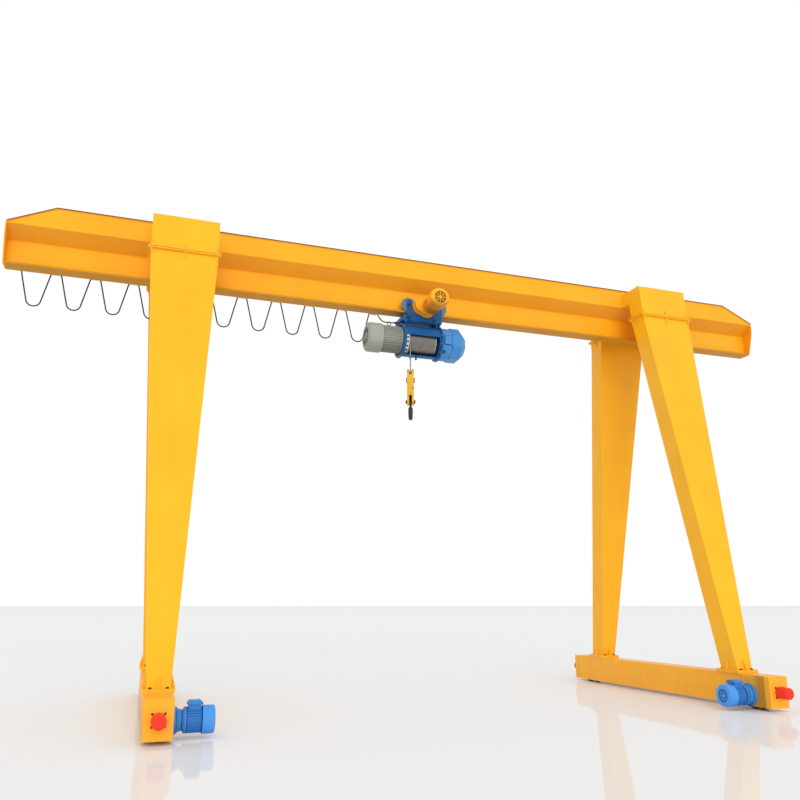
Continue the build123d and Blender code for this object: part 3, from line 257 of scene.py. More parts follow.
class Finish:
    """A material with one Principled shader; constants are set on its sockets, the rest is wired."""

    def __init__(self, name, constants):
        self.material = bpy.data.materials.new(name)
        self.material.use_nodes = True
        self.tree = self.material.node_tree
        self.shader = self.tree.nodes["Principled BSDF"]
        self.feed_all(self.shader, constants)
        self.place = self.node("ShaderNodeTexCoord", output="Object")
        self.x, self.y, self.z = (
            self.node("ShaderNodeSeparateXYZ", {}, {0: self.place}, axis) for axis in range(3)
        )

    def feed_all(self, made, sockets):
        for name, value in sockets.items():
            if isinstance(value, Wire):
                self.tree.links.new(value.socket, made.inputs[name])
            else:
                made.inputs[name].default_value = value

    def node(self, kind, settings=None, sockets=None, output=0):
        """Any node: its settings first, then the values or links of its sockets; gives one output."""
        made = self.tree.nodes.new(kind)
        for name, value in (settings or {}).items():
            setattr(made, name, value)
        self.feed_all(made, sockets or {})
        return Wire(self, made.outputs[output])

    def noise(self, scale, detail=3.0, stretch=(1.0, 1.0, 1.0)):
        """Cloud noise at so many spots a metre, pulled out along an axis by a small stretch."""
        place = self.node("ShaderNodeVectorMath", {"operation": "MULTIPLY"}, {0: self.place, 1: stretch})
        return self.node("ShaderNodeTexNoise", {}, {"Vector": place, "Scale": scale, "Detail": detail})

    def step(self, value, low, high):
        """Smooth step of a value, from 0 at low to 1 at high."""
        settings = {"interpolation_type": "SMOOTHSTEP"}
        return self.node("ShaderNodeMapRange", settings, {"Value": value, "From Min": low, "From Max": high})

    def mix(self, factor, first, second):
        """Colour mix of two colours by a factor."""
        return self.node("ShaderNodeMix", {"data_type": "RGBA"}, {0: factor, 6: first, 7: second}, 2)

    def near(self, value, middle, reach):
        """1 where a value is within reach of a middle, with a short soft border."""
        return 1.0 - self.step(abs(value - middle), reach * 0.8, reach * 1.2)

    def below(self, value, limit, soft=0.001):
        """1 where a value is below a limit."""
        return 1.0 - self.step(value, limit - soft, limit + soft)

    def from_axis(self, first, second):
        """Distance from an axis, from the two offsets at right angles to it."""
        return self.node("ShaderNodeMath", {"operation": "SQRT"}, {0: first * first + second * second})

    def done(self, colour, rough, height, distance, strength):
        """Feed the shader with colour, roughness and a bump; gives the material."""
        bump = self.node("ShaderNodeBump", {}, {"Height": height, "Distance": distance, "Strength": strength})
        self.feed_all(self.shader, {"Base Color": colour, "Roughness": rough, "Normal": bump})
        return self.material


def tone(colour, share):
    """A colour made lighter or darker by a share, as RGBA."""
    return tuple(min(1.0, channel * share) for channel in colour[:3]) + (1.0,)


def paint(name, colour, gloss, dust=0.0, wear=None, marks=None, mirror=0.2):
    """Sprayed paint: clouds, runs and specks, dust near the floor, worn spots, its own marks, orange peel."""
    finish = Finish(name, {"Coat Weight": mirror / 5, "Coat Roughness": 0.22, "Specular IOR Level": mirror})
    clouds = finish.step(finish.noise(1.7, 4.0), 0.32, 0.72)
    runs = finish.step(finish.noise(6.0, 3.0, (1.0, 1.0, 0.07)), 0.5, 0.78)
    specks = finish.step(finish.noise(95.0, 2.0), 0.68, 0.78)
    base = finish.mix(clouds, tone(colour, 1.03), tone(colour, 0.95))
    base = finish.mix(runs * 0.16, base, tone(colour, 0.74))
    base = finish.mix(specks * 0.10, base, tone(colour, 0.6))
    rough = gloss + clouds * 0.06 + runs * 0.08
    if dust:
        low = (1.0 - finish.step(finish.z, 0.02, 0.75)) * finish.step(finish.noise(11.0, 5.0), 0.36, 0.75)
        base = finish.mix(low * dust, base, (0.42, 0.36, 0.27, 1.0))
        rough = rough + low * 0.25
    if wear:
        spots = finish.step(finish.noise(24.0, 6.0), wear[0], wear[0] + 0.06)
        base = finish.mix(spots, base, wear[1])
        rough = rough + spots * 0.2
    for share, shade in marks(finish) if marks else ():
        base = finish.mix(share, base, shade)
    skin = finish.noise(210.0, 2.0) * 0.0001 + finish.noise(14.0, 2.0) * 0.0004
    return finish.done(base, rough, skin, 1.0, 0.55)


# Marks: shares and colours that a paint lays over its base; some are joints, some are painted shade


# Dark brown for seams and for painted shade
SEAM_AND_SHADE_BROWN = (0.16, 0.065, 0.016, 1.0)
DEEP_BLUE = (0.012, 0.080, 0.27, 1.0)


def top_edge_shade(finish):
    """The edges of the girder's top plate are dark with painted shade, a dark line along the girder's top."""
    return [(finish.step(abs(finish.y), 0.1900, 0.1915), SEAM_AND_SHADE_BROWN)]


def slope_painted_shade(finish):
    """Painted shade on the inward slopes of the girder's side plates, which face downward: a little browner.
    """
    return [(finish.below(finish.z, 5.127, 0.006) * 0.32, (0.62, 0.25, 0.020, 1.0))]


def joint_seam_and_shade(finish):
    """A dark line where the flanges of bracket and leg meet: their seam, together with painted shade under
    the flange's edge.
    """
    return [(finish.near(finish.z, JOINT_Z, 0.0035) * 0.8, SEAM_AND_SHADE_BROWN)]


def carriage_seams_and_shadow(finish):
    """Upright seams on the carriage sides near both ends, and a painted shadow behind the drives at the front
    ends.
    """
    along, end_seam, inner_seam = abs(finish.y), 1.845, 1.52
    side = finish.near(abs(abs(finish.x) - CARRIAGE_X), CARRIAGE_HALF, 0.004)
    # Painted shadow of the drive on the carriage side, near the front end only
    shade_field = finish.step(along, 1.66, 1.78) * finish.below(along, end_seam) * finish.below(finish.y, 0.0)
    return [
        (side * shade_field * 0.46, SEAM_AND_SHADE_BROWN),
        (side * finish.near(along, end_seam, 0.004) * 0.5, SEAM_AND_SHADE_BROWN),
        (side * finish.near(along, inner_seam, 0.003) * 0.35, SEAM_AND_SHADE_BROWN),
    ]


def drive_marks_and_opening_shade(finish):
    """Finned bodies darker than the fan covers, dark gaps between both, and rings of painted shade in the
    covers' ends where their openings are.
    """
    across_x, body_x, gap_x = abs(finish.x), 2.766, 2.771
    low, high = low_high("travel_motor_right")
    ring = finish.from_axis(finish.y - float(low[1] + high[1]) / 2, finish.z - DRIVE_Z)
    # Painted shade: dark rings where the cover's end has its openings
    opening = finish.below(across_x, float(low[0]) + 0.003) * finish.near(ring, 0.044, 0.023)
    return [
        (finish.step(across_x, body_x - 0.002, body_x + 0.002) * 0.6, (0.030, 0.17, 0.50, 1.0)),
        (finish.near(across_x, gap_x, 0.0055) * 0.8, DEEP_BLUE),
        (opening * 0.75, (0.010, 0.06, 0.22, 1.0)),
    ]


def reducer_marks(finish):
    """Dark joint lines round the reducer's neck and at the motor's flange."""
    joints = (2.896, 2.933, 2.978)
    return [(finish.near(abs(finish.x), joint, 0.0045) * 0.85, DEEP_BLUE) for joint in joints]


def gearbox_lines(finish):
    """Dark lines round the raised panel, at the cap's joint and along the cap."""
    left = float(low_high("hoist_gearbox")[0][0])
    half_width, half_height = 0.045, 0.060
    front = finish.below(finish.y, -0.10)
    beside = abs(finish.x - left - PANEL_X) - half_width
    above = abs(finish.z - HOIST_Z) - half_height
    border = finish.node("ShaderNodeMath", {"operation": "MAXIMUM"}, {0: beside, 1: above})
    dark = (0.014, 0.085, 0.24, 1.0)
    cap = finish.step(finish.x, left + CAP_X - 0.001, left + CAP_X)
    return [
        (front * finish.near(border, 0.0, 0.0045) * 0.8, dark),
        (finish.near(finish.x, left + CAP_X, 0.004) * 0.7, dark),
        (front * cap * finish.near(finish.z, HOIST_Z - half_height, 0.003) * 0.6, dark),
    ]


def motor_eye_and_painted_shade(finish):
    """The eye ring on top is dark, and the underside has painted shade."""
    return [
        (finish.step(finish.z, 4.522, 4.526), (0.045, 0.045, 0.045, 1.0)),
        # Painted shade on the underside
        (finish.below(finish.z, 4.27, 0.05) * 0.5, (0.20, 0.205, 0.18, 1.0)),
    ]


def fan_grille_and_painted_shade(finish):
    """A dark disc of painted shade for the openings, behind a light cross and ring on the hoist's fan cover,
    and painted shade on the underside.
    """
    up = finish.z - HOIST_Z
    ring = finish.from_axis(finish.y, up)
    end = finish.below(finish.x, float(low_high("hoist_fan_cover")[0][0]) + 0.003)
    dark = (0.030, 0.030, 0.030, 1.0)
    light = (0.34, 0.34, 0.32, 1.0)
    # Painted shade where the cover's end has its openings
    shade_field = end * finish.below(ring, 0.118)
    return [
        (shade_field, dark),
        (shade_field * finish.near(finish.y, 0.0, 0.011), light),
        (shade_field * finish.near(up, 0.0, 0.011), light),
        (shade_field * finish.near(ring, 0.060, 0.010), light),
        # Painted shade on the underside
        (finish.below(finish.z, 4.25, 0.05) * 0.35, (0.20, 0.2, 0.18, 1.0)),
    ]


def axle_ends(finish):
    """The ends of the wheel axles are painted with the carriage."""
    yellow = (*bpy.context.scene.crane_colours.carriage_yellow, 1.0)
    return [(finish.step(abs(abs(finish.x) - CARRIAGE_X), 0.1160, 0.1170), yellow)]


def trolley_motor_ring_and_shade(finish):
    """A dark ring of painted shade in the fan cover's end, and painted shade on the underside."""
    low, high = low_high("trolley_motor")
    x, z = float(low[0] + high[0]) / 2, float(low[2] + high[2]) / 2
    ring = finish.from_axis(finish.x - x, finish.z - z)
    opening = finish.below(finish.y, float(low[1]) + 0.003) * finish.near(ring, 0.045, 0.027)
    return [
        # Painted shade on the underside, then the painted shade of the cover's openings
        (finish.below(finish.z, z - 0.055, 0.04) * 0.6, (0.26, 0.12, 0.016, 1.0)),
        (opening * 0.85, (0.13, 0.070, 0.012, 1.0)),
    ]


def bare_steel(name, colour, gloss, lines, along):
    """Turned or drawn steel: fine lines along one axis in shade, gloss and height, and oil stains."""
    finish = Finish(name, {"Metallic": 1.0})
    stretch = tuple(1.0 if axis == along else 0.02 for axis in "xyz")
    line = finish.noise(lines, 3.0, stretch)
    stain = finish.step(finish.noise(13.0, 4.0), 0.45, 0.75)
    base = finish.mix(line, tone(colour, 1.15), tone(colour, 0.75))
    base = finish.mix(stain * 0.35, base, tone(colour, 0.5))
    return finish.done(base, gloss + line * 0.16 + stain * 0.12, line, 0.0004, 0.6)


def guide_steel(name, colour):
    """The rope guide: bright steel with dark slots where two opposite slanting waves, 22 a turn, are high."""
    finish = Finish(name, {"Metallic": 1.0})
    turn = finish.node("ShaderNodeMath", {"operation": "ARCTAN2"}, {0: finish.y, 1: finish.z - HOIST_Z})
    slots = []
    for way in (-1.0, 1.0):
        phase = turn * 22.0 + finish.x * (way * 80.0)
        wave = finish.node("ShaderNodeMath", {"operation": "SINE"}, {0: phase})
        slots.append(finish.step(wave, -0.1, 0.2))
    grain = finish.noise(200.0, 3.0)
    base = finish.mix(grain, tone(colour, 1.1), tone(colour, 0.9))
    base = finish.mix(slots[0] * slots[1], base, (0.012, 0.012, 0.014, 1.0))
    return finish.done(base, 0.28 + grain * 0.14, grain, 0.0003, 0.4)


def zinc(name, colour):
    """Galvanised steel: crystal patches of slightly different grey, with dull white bloom between them."""
    finish = Finish(name, {"Metallic": 0.85})
    patch = finish.node("ShaderNodeTexVoronoi", {}, {"Vector": finish.place, "Scale": 60.0}, "Color")
    grey = finish.node("ShaderNodeRGBToBW", {}, {0: patch})
    bloom = finish.step(finish.noise(18.0, 4.0), 0.45, 0.7)
    base = finish.mix(grey, tone(colour, 0.8), tone(colour, 1.12))
    base = finish.mix(bloom * 0.4, base, tone(colour, 1.25))
    return finish.done(base, 0.38 + grey * 0.16 + bloom * 0.15, grey, 0.0002, 0.4)


def rubber(name, colour):
    """Moulded rubber: a fine pitted skin and darker bloom in clouds."""
    finish = Finish(name, {"Specular IOR Level": 0.2})
    bloom = finish.step(finish.noise(21.0, 5.0), 0.4, 0.75)
    pits = finish.noise(420.0, 2.0)
    base = finish.mix(bloom, tone(colour, 1.04), tone(colour, 0.9))
    base = finish.mix(finish.step(pits, 0.62, 0.75) * 0.2, base, tone(colour, 0.7))
    return finish.done(base, 0.44 + bloom * 0.12, pits, 0.0006, 0.5)


def sheath(name, colour):
    """Cable sheath: pale scuffs on a fine grain."""
    finish = Finish(name, {"Specular IOR Level": 0.4})
    scuff = finish.step(finish.noise(34.0, 4.0), 0.5, 0.8)
    grain = finish.noise(300.0, 2.0)
    base = finish.mix(scuff * 0.5, tone(colour, 1.0), tone(colour, 2.2))
    base = finish.mix(grain * 0.3, base, tone(colour, 1.6))
    return finish.done(base, 0.46 + scuff * 0.2, grain, 0.0003, 0.4)


def dark_steel(name, colour, marks=None):
    """Oiled dark steel: uneven sheen, a trace of rust in patches, then its own painted marks."""
    finish = Finish(name, {"Metallic": 0.6})
    oil = finish.noise(26.0, 4.0)
    rust = finish.step(finish.noise(48.0, 5.0), 0.6, 0.74)
    base = finish.mix(oil, tone(colour, 0.75), tone(colour, 1.4))
    base = finish.mix(rust * 0.45, base, (0.16, 0.065, 0.03, 1.0))
    for share, shade in marks(finish) if marks else ():
        base = finish.mix(share, base, shade)
        finish.feed_all(finish.shader, {"Metallic": 0.6 - share * 0.6})
    return finish.done(base, 0.34 + oil * 0.2 + rust * 0.2, finish.noise(160.0, 3.0), 0.0005, 0.5)


# Settings that a user would change


def colour_property(name, default, about):
    """A colour setting with its name, default and description."""
    return bpy.props.FloatVectorProperty(
        name=name, description=about, default=default, subtype="COLOR", min=0.0, max=1.0, size=3
    )


def length_property(name, default, about):
    """A length setting in metres with its name, default and description."""
    return bpy.props.FloatProperty(name=name, description=about, default=default, unit="LENGTH", min=0.0)


def number_property(name, default, about, subtype="NONE"):
    """A plain number setting with its name, default and description."""
    return bpy.props.FloatProperty(name=name, description=about, default=default, subtype=subtype)


class CraneColours(bpy.types.PropertyGroup):
    """Colours of the crane's finishes."""

    leg_yellow: colour_property("Legs", (1.0, 0.48, 0.014), "Paint of legs and brackets")
    girder_yellow: colour_property("Girder", (1.0, 0.43, 0.015), "Paint of the girder")
    carriage_yellow: colour_property("Carriages", (1.0, 0.45, 0.022), "Paint of the carriages")
    drive_blue: colour_property("Drives", (0.065, 0.31, 0.82), "Paint of the travel motors")
    gearbox_blue: colour_property("Gearbox", (0.060, 0.26, 0.60), "Paint of the hoist's gearbox")
    hoist_blue: colour_property("Hoist", (0.006, 0.105, 0.31), "Paint of shell, hanger and trolley plates")
    motor_grey: colour_property("Motor", (0.385, 0.40, 0.355), "Paint of the hoist motor")
    buffer_red: colour_property("Buffers", (0.92, 0.045, 0.018), "Rubber of the buffers")
    steel: colour_property("Steel", (0.52, 0.51, 0.48), "Bare steel of drum and rope")
    zinc: colour_property("Zinc", (0.52, 0.53, 0.54), "Galvanised track and fittings")
    # Black at 0.8 is also the painted shade behind the hoist's and trolley's fan openings
    black: colour_property("Black", (0.020, 0.020, 0.022), "Cable sheath and dark recesses")
    iron: colour_property("Iron", (0.050, 0.049, 0.046), "Oiled wheels, hook and bolts")


class CraneSizes(bpy.types.PropertyGroup):
    """Sizes of the fitted pieces."""

    cable_radius: length_property("Cable radius", 0.008, "Radius of the looped cable")
    rope_radius: length_property("Rope radius", 0.0065, "Radius of the hoist rope")
    rope_lay: length_property("Rope lay", 0.055, "Length in which a strand goes once round the rope")
    turn_pitch: length_property("Turn pitch", 0.0142, "Distance of the rope's turns on the drum")
    joint_bolt: length_property("Joint bolt", 0.0125, "Washer radius of the bolts at the leg joints")
    foot_bolt: length_property("Foot bolt", 0.017, "Washer radius of the bolts at the feet")
    small_bolt: length_property("Small bolt", 0.009, "Washer radius of the bolts on drives and hoist")
    screw: length_property("Screw", 0.0055, "Washer radius of cover screws")
    weld: length_property("Weld", 0.005, "Radius of the weld beads")


class CraneStage(bpy.types.PropertyGroup):
    """Light and floor."""

    ambient: number_property("Ambient", 0.86, "Strength of the light from all sides")
    key: number_property("Key", 1.1, "Strength of the soft front light")
    softness: number_property("Softness", radians(40.0), "Angle over which the front light spreads", "ANGLE")
    floor_colour: colour_property("Floor", (0.92, 0.935, 0.94), "Colour of the floor")
    gloss: number_property("Gloss", 0.24, "Share of mirror light on the floor", "FACTOR")
    blur: number_property("Blur", 0.05, "Roughness of the floor's mirror", "FACTOR")


FINISHES = {}


# Finishes and the starts of the node names that they go on; the first fit counts, the rest are iron
DRESSING = {
    "running": "girder_flange",
    "top": "girder_top",
    "plate": "girder_front girder_rear",
    "girder": "girder",
    "leg": "bracket leg",
    "carriage": "carriage",
    "case": "trolley_gear_case",
    "trolley": "trolley_motor",
    "roller": "trolley_wheel",
    "hoist": "trolley_plate hoist_shell hoist_hanger",
    "reducer": "travel_reducer",
    "drive": "travel",
    "wheel": "wheel",
    "gearbox": "hoist_gearbox",
    "motor": "hoist_motor",
    "fan": "hoist_fan_cover",
    "drum": "hoist_drum",
    "rope": "hoist_rope",
    "guide": "rope_guide",
    "block": "hook_block",
    "buffer": "buffers",
    "zinc": "cable_track track_hangers cable_carriers cable_tow_arm cable_end_clamp",
    "sheath": "cable_gland looped_cable",
}


def sizes():
    """The sizes that the panel shows."""
    return bpy.context.scene.crane_sizes


class CRANE_OT_finishes(bpy.types.Operator):
    """Make the finishes and put one on each node"""

    bl_idname = "crane.finishes"
    bl_label = "Finishes"

    def execute(self, context):
        hue = context.scene.crane_colours
        primer = (0.30, 0.17, 0.07, 1.0)
        FINISHES.update(
            leg=paint("leg_yellow", hue.leg_yellow, 0.30, dust=0.12, marks=joint_seam_and_shade),
            girder=paint("girder_yellow", hue.girder_yellow, 0.32),
            plate=paint("girder_plate", hue.girder_yellow, 0.32, marks=slope_painted_shade),
            running=paint("running_flange", (0.60, 0.275, 0.018), 0.40, mirror=0.08),
            top=paint("top_plate", hue.girder_yellow, 0.32, marks=top_edge_shade),
            carriage=paint("carriage_yellow", hue.carriage_yellow, 0.34, dust=0.12, marks=carriage_seams_and_shadow),
            case=paint("trolley_yellow", hue.girder_yellow, 0.34, wear=(0.66, primer)),
            trolley=paint("trolley_motor_yellow", hue.girder_yellow, 0.34, marks=trolley_motor_ring_and_shade),
            block=paint("block_yellow", (0.82, 0.45, 0.045), 0.36, wear=(0.63, (0.10, 0.08, 0.06, 1.0))),
            drive=paint("drive_blue", hue.drive_blue, 0.34, dust=0.08, marks=drive_marks_and_opening_shade),
            reducer=paint("reducer_blue", tone(hue.drive_blue, 0.85), 0.34, marks=reducer_marks),
            gearbox=paint("gearbox_blue", hue.gearbox_blue, 0.34, marks=gearbox_lines),
            hoist=paint("hoist_blue", hue.hoist_blue, 0.36),
            motor=paint("motor_grey", hue.motor_grey, 0.42, marks=motor_eye_and_painted_shade),
            fan=paint("fan_grey", tone(hue.motor_grey, 0.98), 0.40, marks=fan_grille_and_painted_shade),
            roller=paint("roller_blue", (0.14, 0.19, 0.24), 0.36),
            buffer=rubber("buffer_red", hue.buffer_red),
            drum=bare_steel("drum_steel", hue.steel, 0.30, 260.0, "x"),
            rope=bare_steel("rope_steel", tone(hue.steel, 0.8), 0.36, 300.0, "z"),
            guide=guide_steel("guide_steel", tone(hue.steel, 1.4)),
            zinc=zinc("zinc_steel", hue.zinc),
            sheath=sheath("cable_sheath", tone(hue.black, 2.0)),
            # Near black as painted shade behind the hoist's and trolley's fan openings
            recess=sheath("dark_painted_shade", tone(hue.black, 0.8)),
            iron=dark_steel("oiled_iron", hue.iron),
            wheel=dark_steel("wheel_steel", hue.iron, axle_ends),
            bolt=dark_steel("brown_bolt", (0.13, 0.050, 0.016)),
            # Halved hoist blue as painted shade behind the drives' fan openings, also on the gearbox plug
            hollow=sheath("blue_painted_shade", tone(hue.hoist_blue, 0.5)),
        )
        for name, node in nodes.items():
            fits = (finish for finish, starts in DRESSING.items() if name.startswith(tuple(starts.split())))
            finish = next(fits, "iron")
            for place in node.material_slots:
                place.material = FINISHES[finish]
        return {"FINISHED"}


# Route of the cable, the points of the part's source in metres
FIRST_LOOP, LOOP_PITCH, LOOP_COUNT = -4.707, 0.420, 10
TRACK_Y, CABLE_TOP, TOW_X, CLAMP_X = 0.262, 4.812, -0.717, -4.932
# The second and third points keep the long strand straight
LOOP_SIDE = np.array([
    (0.160, -0.024), (0.147, -0.078), (0.078, -0.370), (0.070, -0.403), (0.049, -0.429), (0.018, -0.444),
])
LEAD_IN = np.array([(-0.225, -0.006), (-0.183, -0.006), (-0.152, -0.034)])
LEAD_DOWN = np.array([
    (0.048, 0.0, -0.022), (0.072, -0.012, -0.077), (0.085, -0.057, -0.132), (0.102, -0.112, -0.180),
    (0.132, -0.162, -0.202),
])
GLAND_RUN = np.array([(-0.540, 0.075, 4.605), (-0.486, 0.075, 4.605)])


def cable_route():
    """Control points of the cable: lead in, loops with mirrored sides, then down to the gland."""
    parts = [LEAD_IN + (FIRST_LOOP, 0.0)]
    for i in range(LOOP_COUNT):
        place = np.array([FIRST_LOOP + LOOP_PITCH * i, 0.0])
        down = LOOP_SIDE if i else LOOP_SIDE[1:]
        parts += [place + down * (-1, 1), place + LOOP_SIDE[::-1], [place + (LOOP_PITCH / 2, 0.0)]]
    flat = np.concatenate(parts)
    loops = np.stack([flat[:, 0], np.full(len(flat), TRACK_Y), flat[:, 1] + CABLE_TOP], -1)
    return np.concatenate([loops, LEAD_DOWN + (TOW_X, TRACK_Y, CABLE_TOP), GLAND_RUN])


def smooth_line(name, control, steps):
    """Points along the NURBS spline that has these control points."""
    curve = bpy.data.curves.new(name, "CURVE")
    curve.dimensions = "3D"
    curve.resolution_u = steps
    spline = curve.splines.new("NURBS")
    spline.points.add(len(control) - 1)
    spline.points.foreach_set("co", np.concatenate([control, np.ones((len(control), 1))], 1).ravel())
    spline.order_u = 3
    spline.use_endpoint_u = True
    holder = bpy.data.objects.new(name, curve)
    mesh = bpy.data.meshes.new_from_object(holder)
    line = np.empty(len(mesh.vertices) * 3)
    mesh.vertices.foreach_get("co", line)
    bpy.data.objects.remove(holder)
    bpy.data.curves.remove(curve)
    bpy.data.meshes.remove(mesh)
    return line.reshape(-1, 3)


class CRANE_OT_cable(bpy.types.Operator):
    """Hang the looped cable on its carriers"""

    bl_idname = "crane.cable"
    bl_label = "Cable and carriers"

    def execute(self, context):
        radius = sizes().cable_radius
        line = smooth_line("cable_line", cable_route(), 5)
        tube = carried(line, circle(radius, full_turn(10)), (0.0, 1.0, 0.0))
        cable = make_piece("supply_cable", [tube], "sheath")
        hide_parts("looped_cable")
        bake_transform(cable)
        for i in range(LOOP_COUNT - 1):
            self.carrier(i)
        return {"FINISHED"}

    def carrier(self, i):
        """One carrier: roller block, four wheels, stem, hanger plate and half-round saddle with its lips."""
        x = FIRST_LOOP + LOOP_PITCH * (i + 0.5)
        low, high = low_high("cable_carriers")
        back = TRACK_Y - 0.014
        foot, top = low[2], high[2]
        lows = [
            (x - 0.033, TRACK_Y - 0.009, top - 0.0215), (x - 0.011, TRACK_Y - 0.003, top - 0.0403),
            (x - 0.023, back - 0.006, top - 0.0443), (x - 0.023, back - 0.006, foot - 0.001),
        ]
        highs = [
            (x + 0.033, TRACK_Y + 0.009, top - 0.0005), (x + 0.011, TRACK_Y + 0.003, top - 0.0100),
            (x + 0.023, TRACK_Y + 0.003, top - 0.0385), (x + 0.023, back, top - 0.0400),
        ]
        wheel = [(0.004, 0.0), (0.0090, 0.0), (0.0100, 0.001), (0.0100, 0.0030), (0.0060, 0.0035)]
        wheel_ways = pairs((-0.022, 0.022), (-1, 1))
        wheel_places = [(x + dx, TRACK_Y + way * 0.0088, top - 0.0115) for dx, way in wheel_ways]
        wheel_axes = [(0.0, way, 0.0) for dx, way in wheel_ways]
        outer, inner = 0.041, 0.034
        angle = np.linspace(0.0, pi, 15)
        arch = np.concatenate([circle(outer, angle), circle(inner, angle[::-1])])
        depth = np.array([0.0, 0.003, 0.029, 0.032])
        lip = np.array([1.0, 0.985, 0.985, 1.0])
        saddle = np.stack([
            x + lip[:, None] * arch[None, :, 0],
            np.broadcast_to((back - 0.006 + depth)[:, None], (4, len(arch))),
            foot + lip[:, None] * arch[None, :, 1],
        ], -1)[None]
        grids = [blocks(lows, highs, 0.0012), turned(wheel, wheel_places, wheel_axes, 14), saddle]
        made = make_piece(f"cable_carrier_{i + 1}", grids, "zinc")
        # The carrier's share of the trolley's travel and two far points are worked out, but nothing uses them
        share = (x - CLAMP_X) / (TOW_X - CLAMP_X)
        far = 1000.0
        TRACK_Y - far * share
        TRACK_Y + far * (1 - share)
        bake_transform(made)
        if i == 0:
            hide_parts("cable_carriers")


# The rope's plane, turned a little about the vertical through the hook
BLOCK_TURN = radians(20.0)
HOOK_X, SHEAVE_Z = -0.299, 3.836
SHEAVE_PITCH, DRUM_PITCH, ANCHOR_Y, ANCHOR_Z = 0.108, 0.1577, 0.150, 4.1838


def touch_angle(x, z, way):
    """Angle at which a line from a point above touches the sheave's pitch circle on one side."""
    distance = sqrt(x * x + z * z)
    return np.arctan2(z, x) - way * np.arctan2(sqrt(distance**2 - SHEAVE_PITCH**2), SHEAVE_PITCH)


def rope_lines():
    """The rope's two parts, which meet under the sheave: down from the drum, and up to the anchor."""
    front = np.array([-DRUM_PITCH / cos(BLOCK_TURN), HOIST_Z])
    rear = np.array([ANCHOR_Y / cos(BLOCK_TURN), ANCHOR_Z])
    start = touch_angle(front[0], front[1] - SHEAVE_Z, -1)
    stop = touch_angle(rear[0], rear[1] - SHEAVE_Z, 1)
    angle = np.linspace(start % (2 * pi), stop % (2 * pi), 70)
    arc = circle(SHEAVE_PITCH, angle) + (0.0, SHEAVE_Z)
    down = front + np.linspace(0, 1, 110)[:-1, None] * (arc[0] - front)
    up = arc[-1] + np.linspace(0, 1, 70)[1:, None] * (rear - arc[-1])
    half = len(arc) // 2
    parts = [np.concatenate([down, arc[:half]]), np.concatenate([arc[half - 1:], up])]
    across_plane = np.array([sin(BLOCK_TURN), cos(BLOCK_TURN), 0.0])
    upward = np.array([0.0, 0.0, 1.0])
    return [(HOOK_X, 0.0, 0.0) + flat[:, :1] * across_plane + flat[:, 1:] * upward for flat in parts]


def stranded(line, radius, lay, strands, columns):
    """A rope section for each point of a line: radius dips between strands, which turn once per lay."""
    run = np.concatenate([[0.0], np.cumsum(np.linalg.norm(np.diff(line, axis=0), axis=1))])
    angle = full_turn(columns)
    phase = angle[None] - 2 * pi * run[:, None] / lay
    reach = radius * (1.0 - 0.22 * (1.0 - np.abs(np.cos(strands / 2 * phase))) ** 2)
    return circle(reach, angle)


class CRANE_OT_rope(bpy.types.Operator):
    """Reeve the rope and lay its turns on the drum"""

    bl_idname = "crane.rope"
    bl_label = "Rope"

    def execute(self, context):
        size = sizes()
        normal = np.array([cos(BLOCK_TURN), -sin(BLOCK_TURN), 0.0])
        names, tops = ("reeved_rope", "standing_rope"), (HOIST_Z, ANCHOR_Z)
        for name, line, top in zip(names, rope_lines(), tops):
            tube = carried(line, stranded(line, size.rope_radius, size.rope_lay, 6, 18), normal)
            rope = make_piece(name, [tube], "rope", 60.0)
            if name == "reeved_rope":
                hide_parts("hoist_rope")
            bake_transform(rope)
        self.drum_turns(size)
        return {"FINISHED"}

    def drum_turns(self, size):
        """A helix on the drum, one pitch along X per turn, from where the rope leaves it."""
        first = HOOK_X - DRUM_PITCH * np.tan(BLOCK_TURN)
        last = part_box("hoist_drum")[1].x - 0.104
        turns = (last - first) / size.turn_pitch
        angle = np.linspace(0.0, 2 * pi * turns, int(turns * 30))
        x = first + size.turn_pitch * angle / (2 * pi)
        line = np.stack([x, -DRUM_PITCH * np.cos(angle), HOIST_Z + DRUM_PITCH * np.sin(angle)], -1)
        tube = carried(line, circle(size.rope_radius, full_turn(6)), (1.0, 0.0, 0.0))
        wound = make_piece("rope_on_drum", [tube], "rope", 80.0)
        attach(wound, "drum")


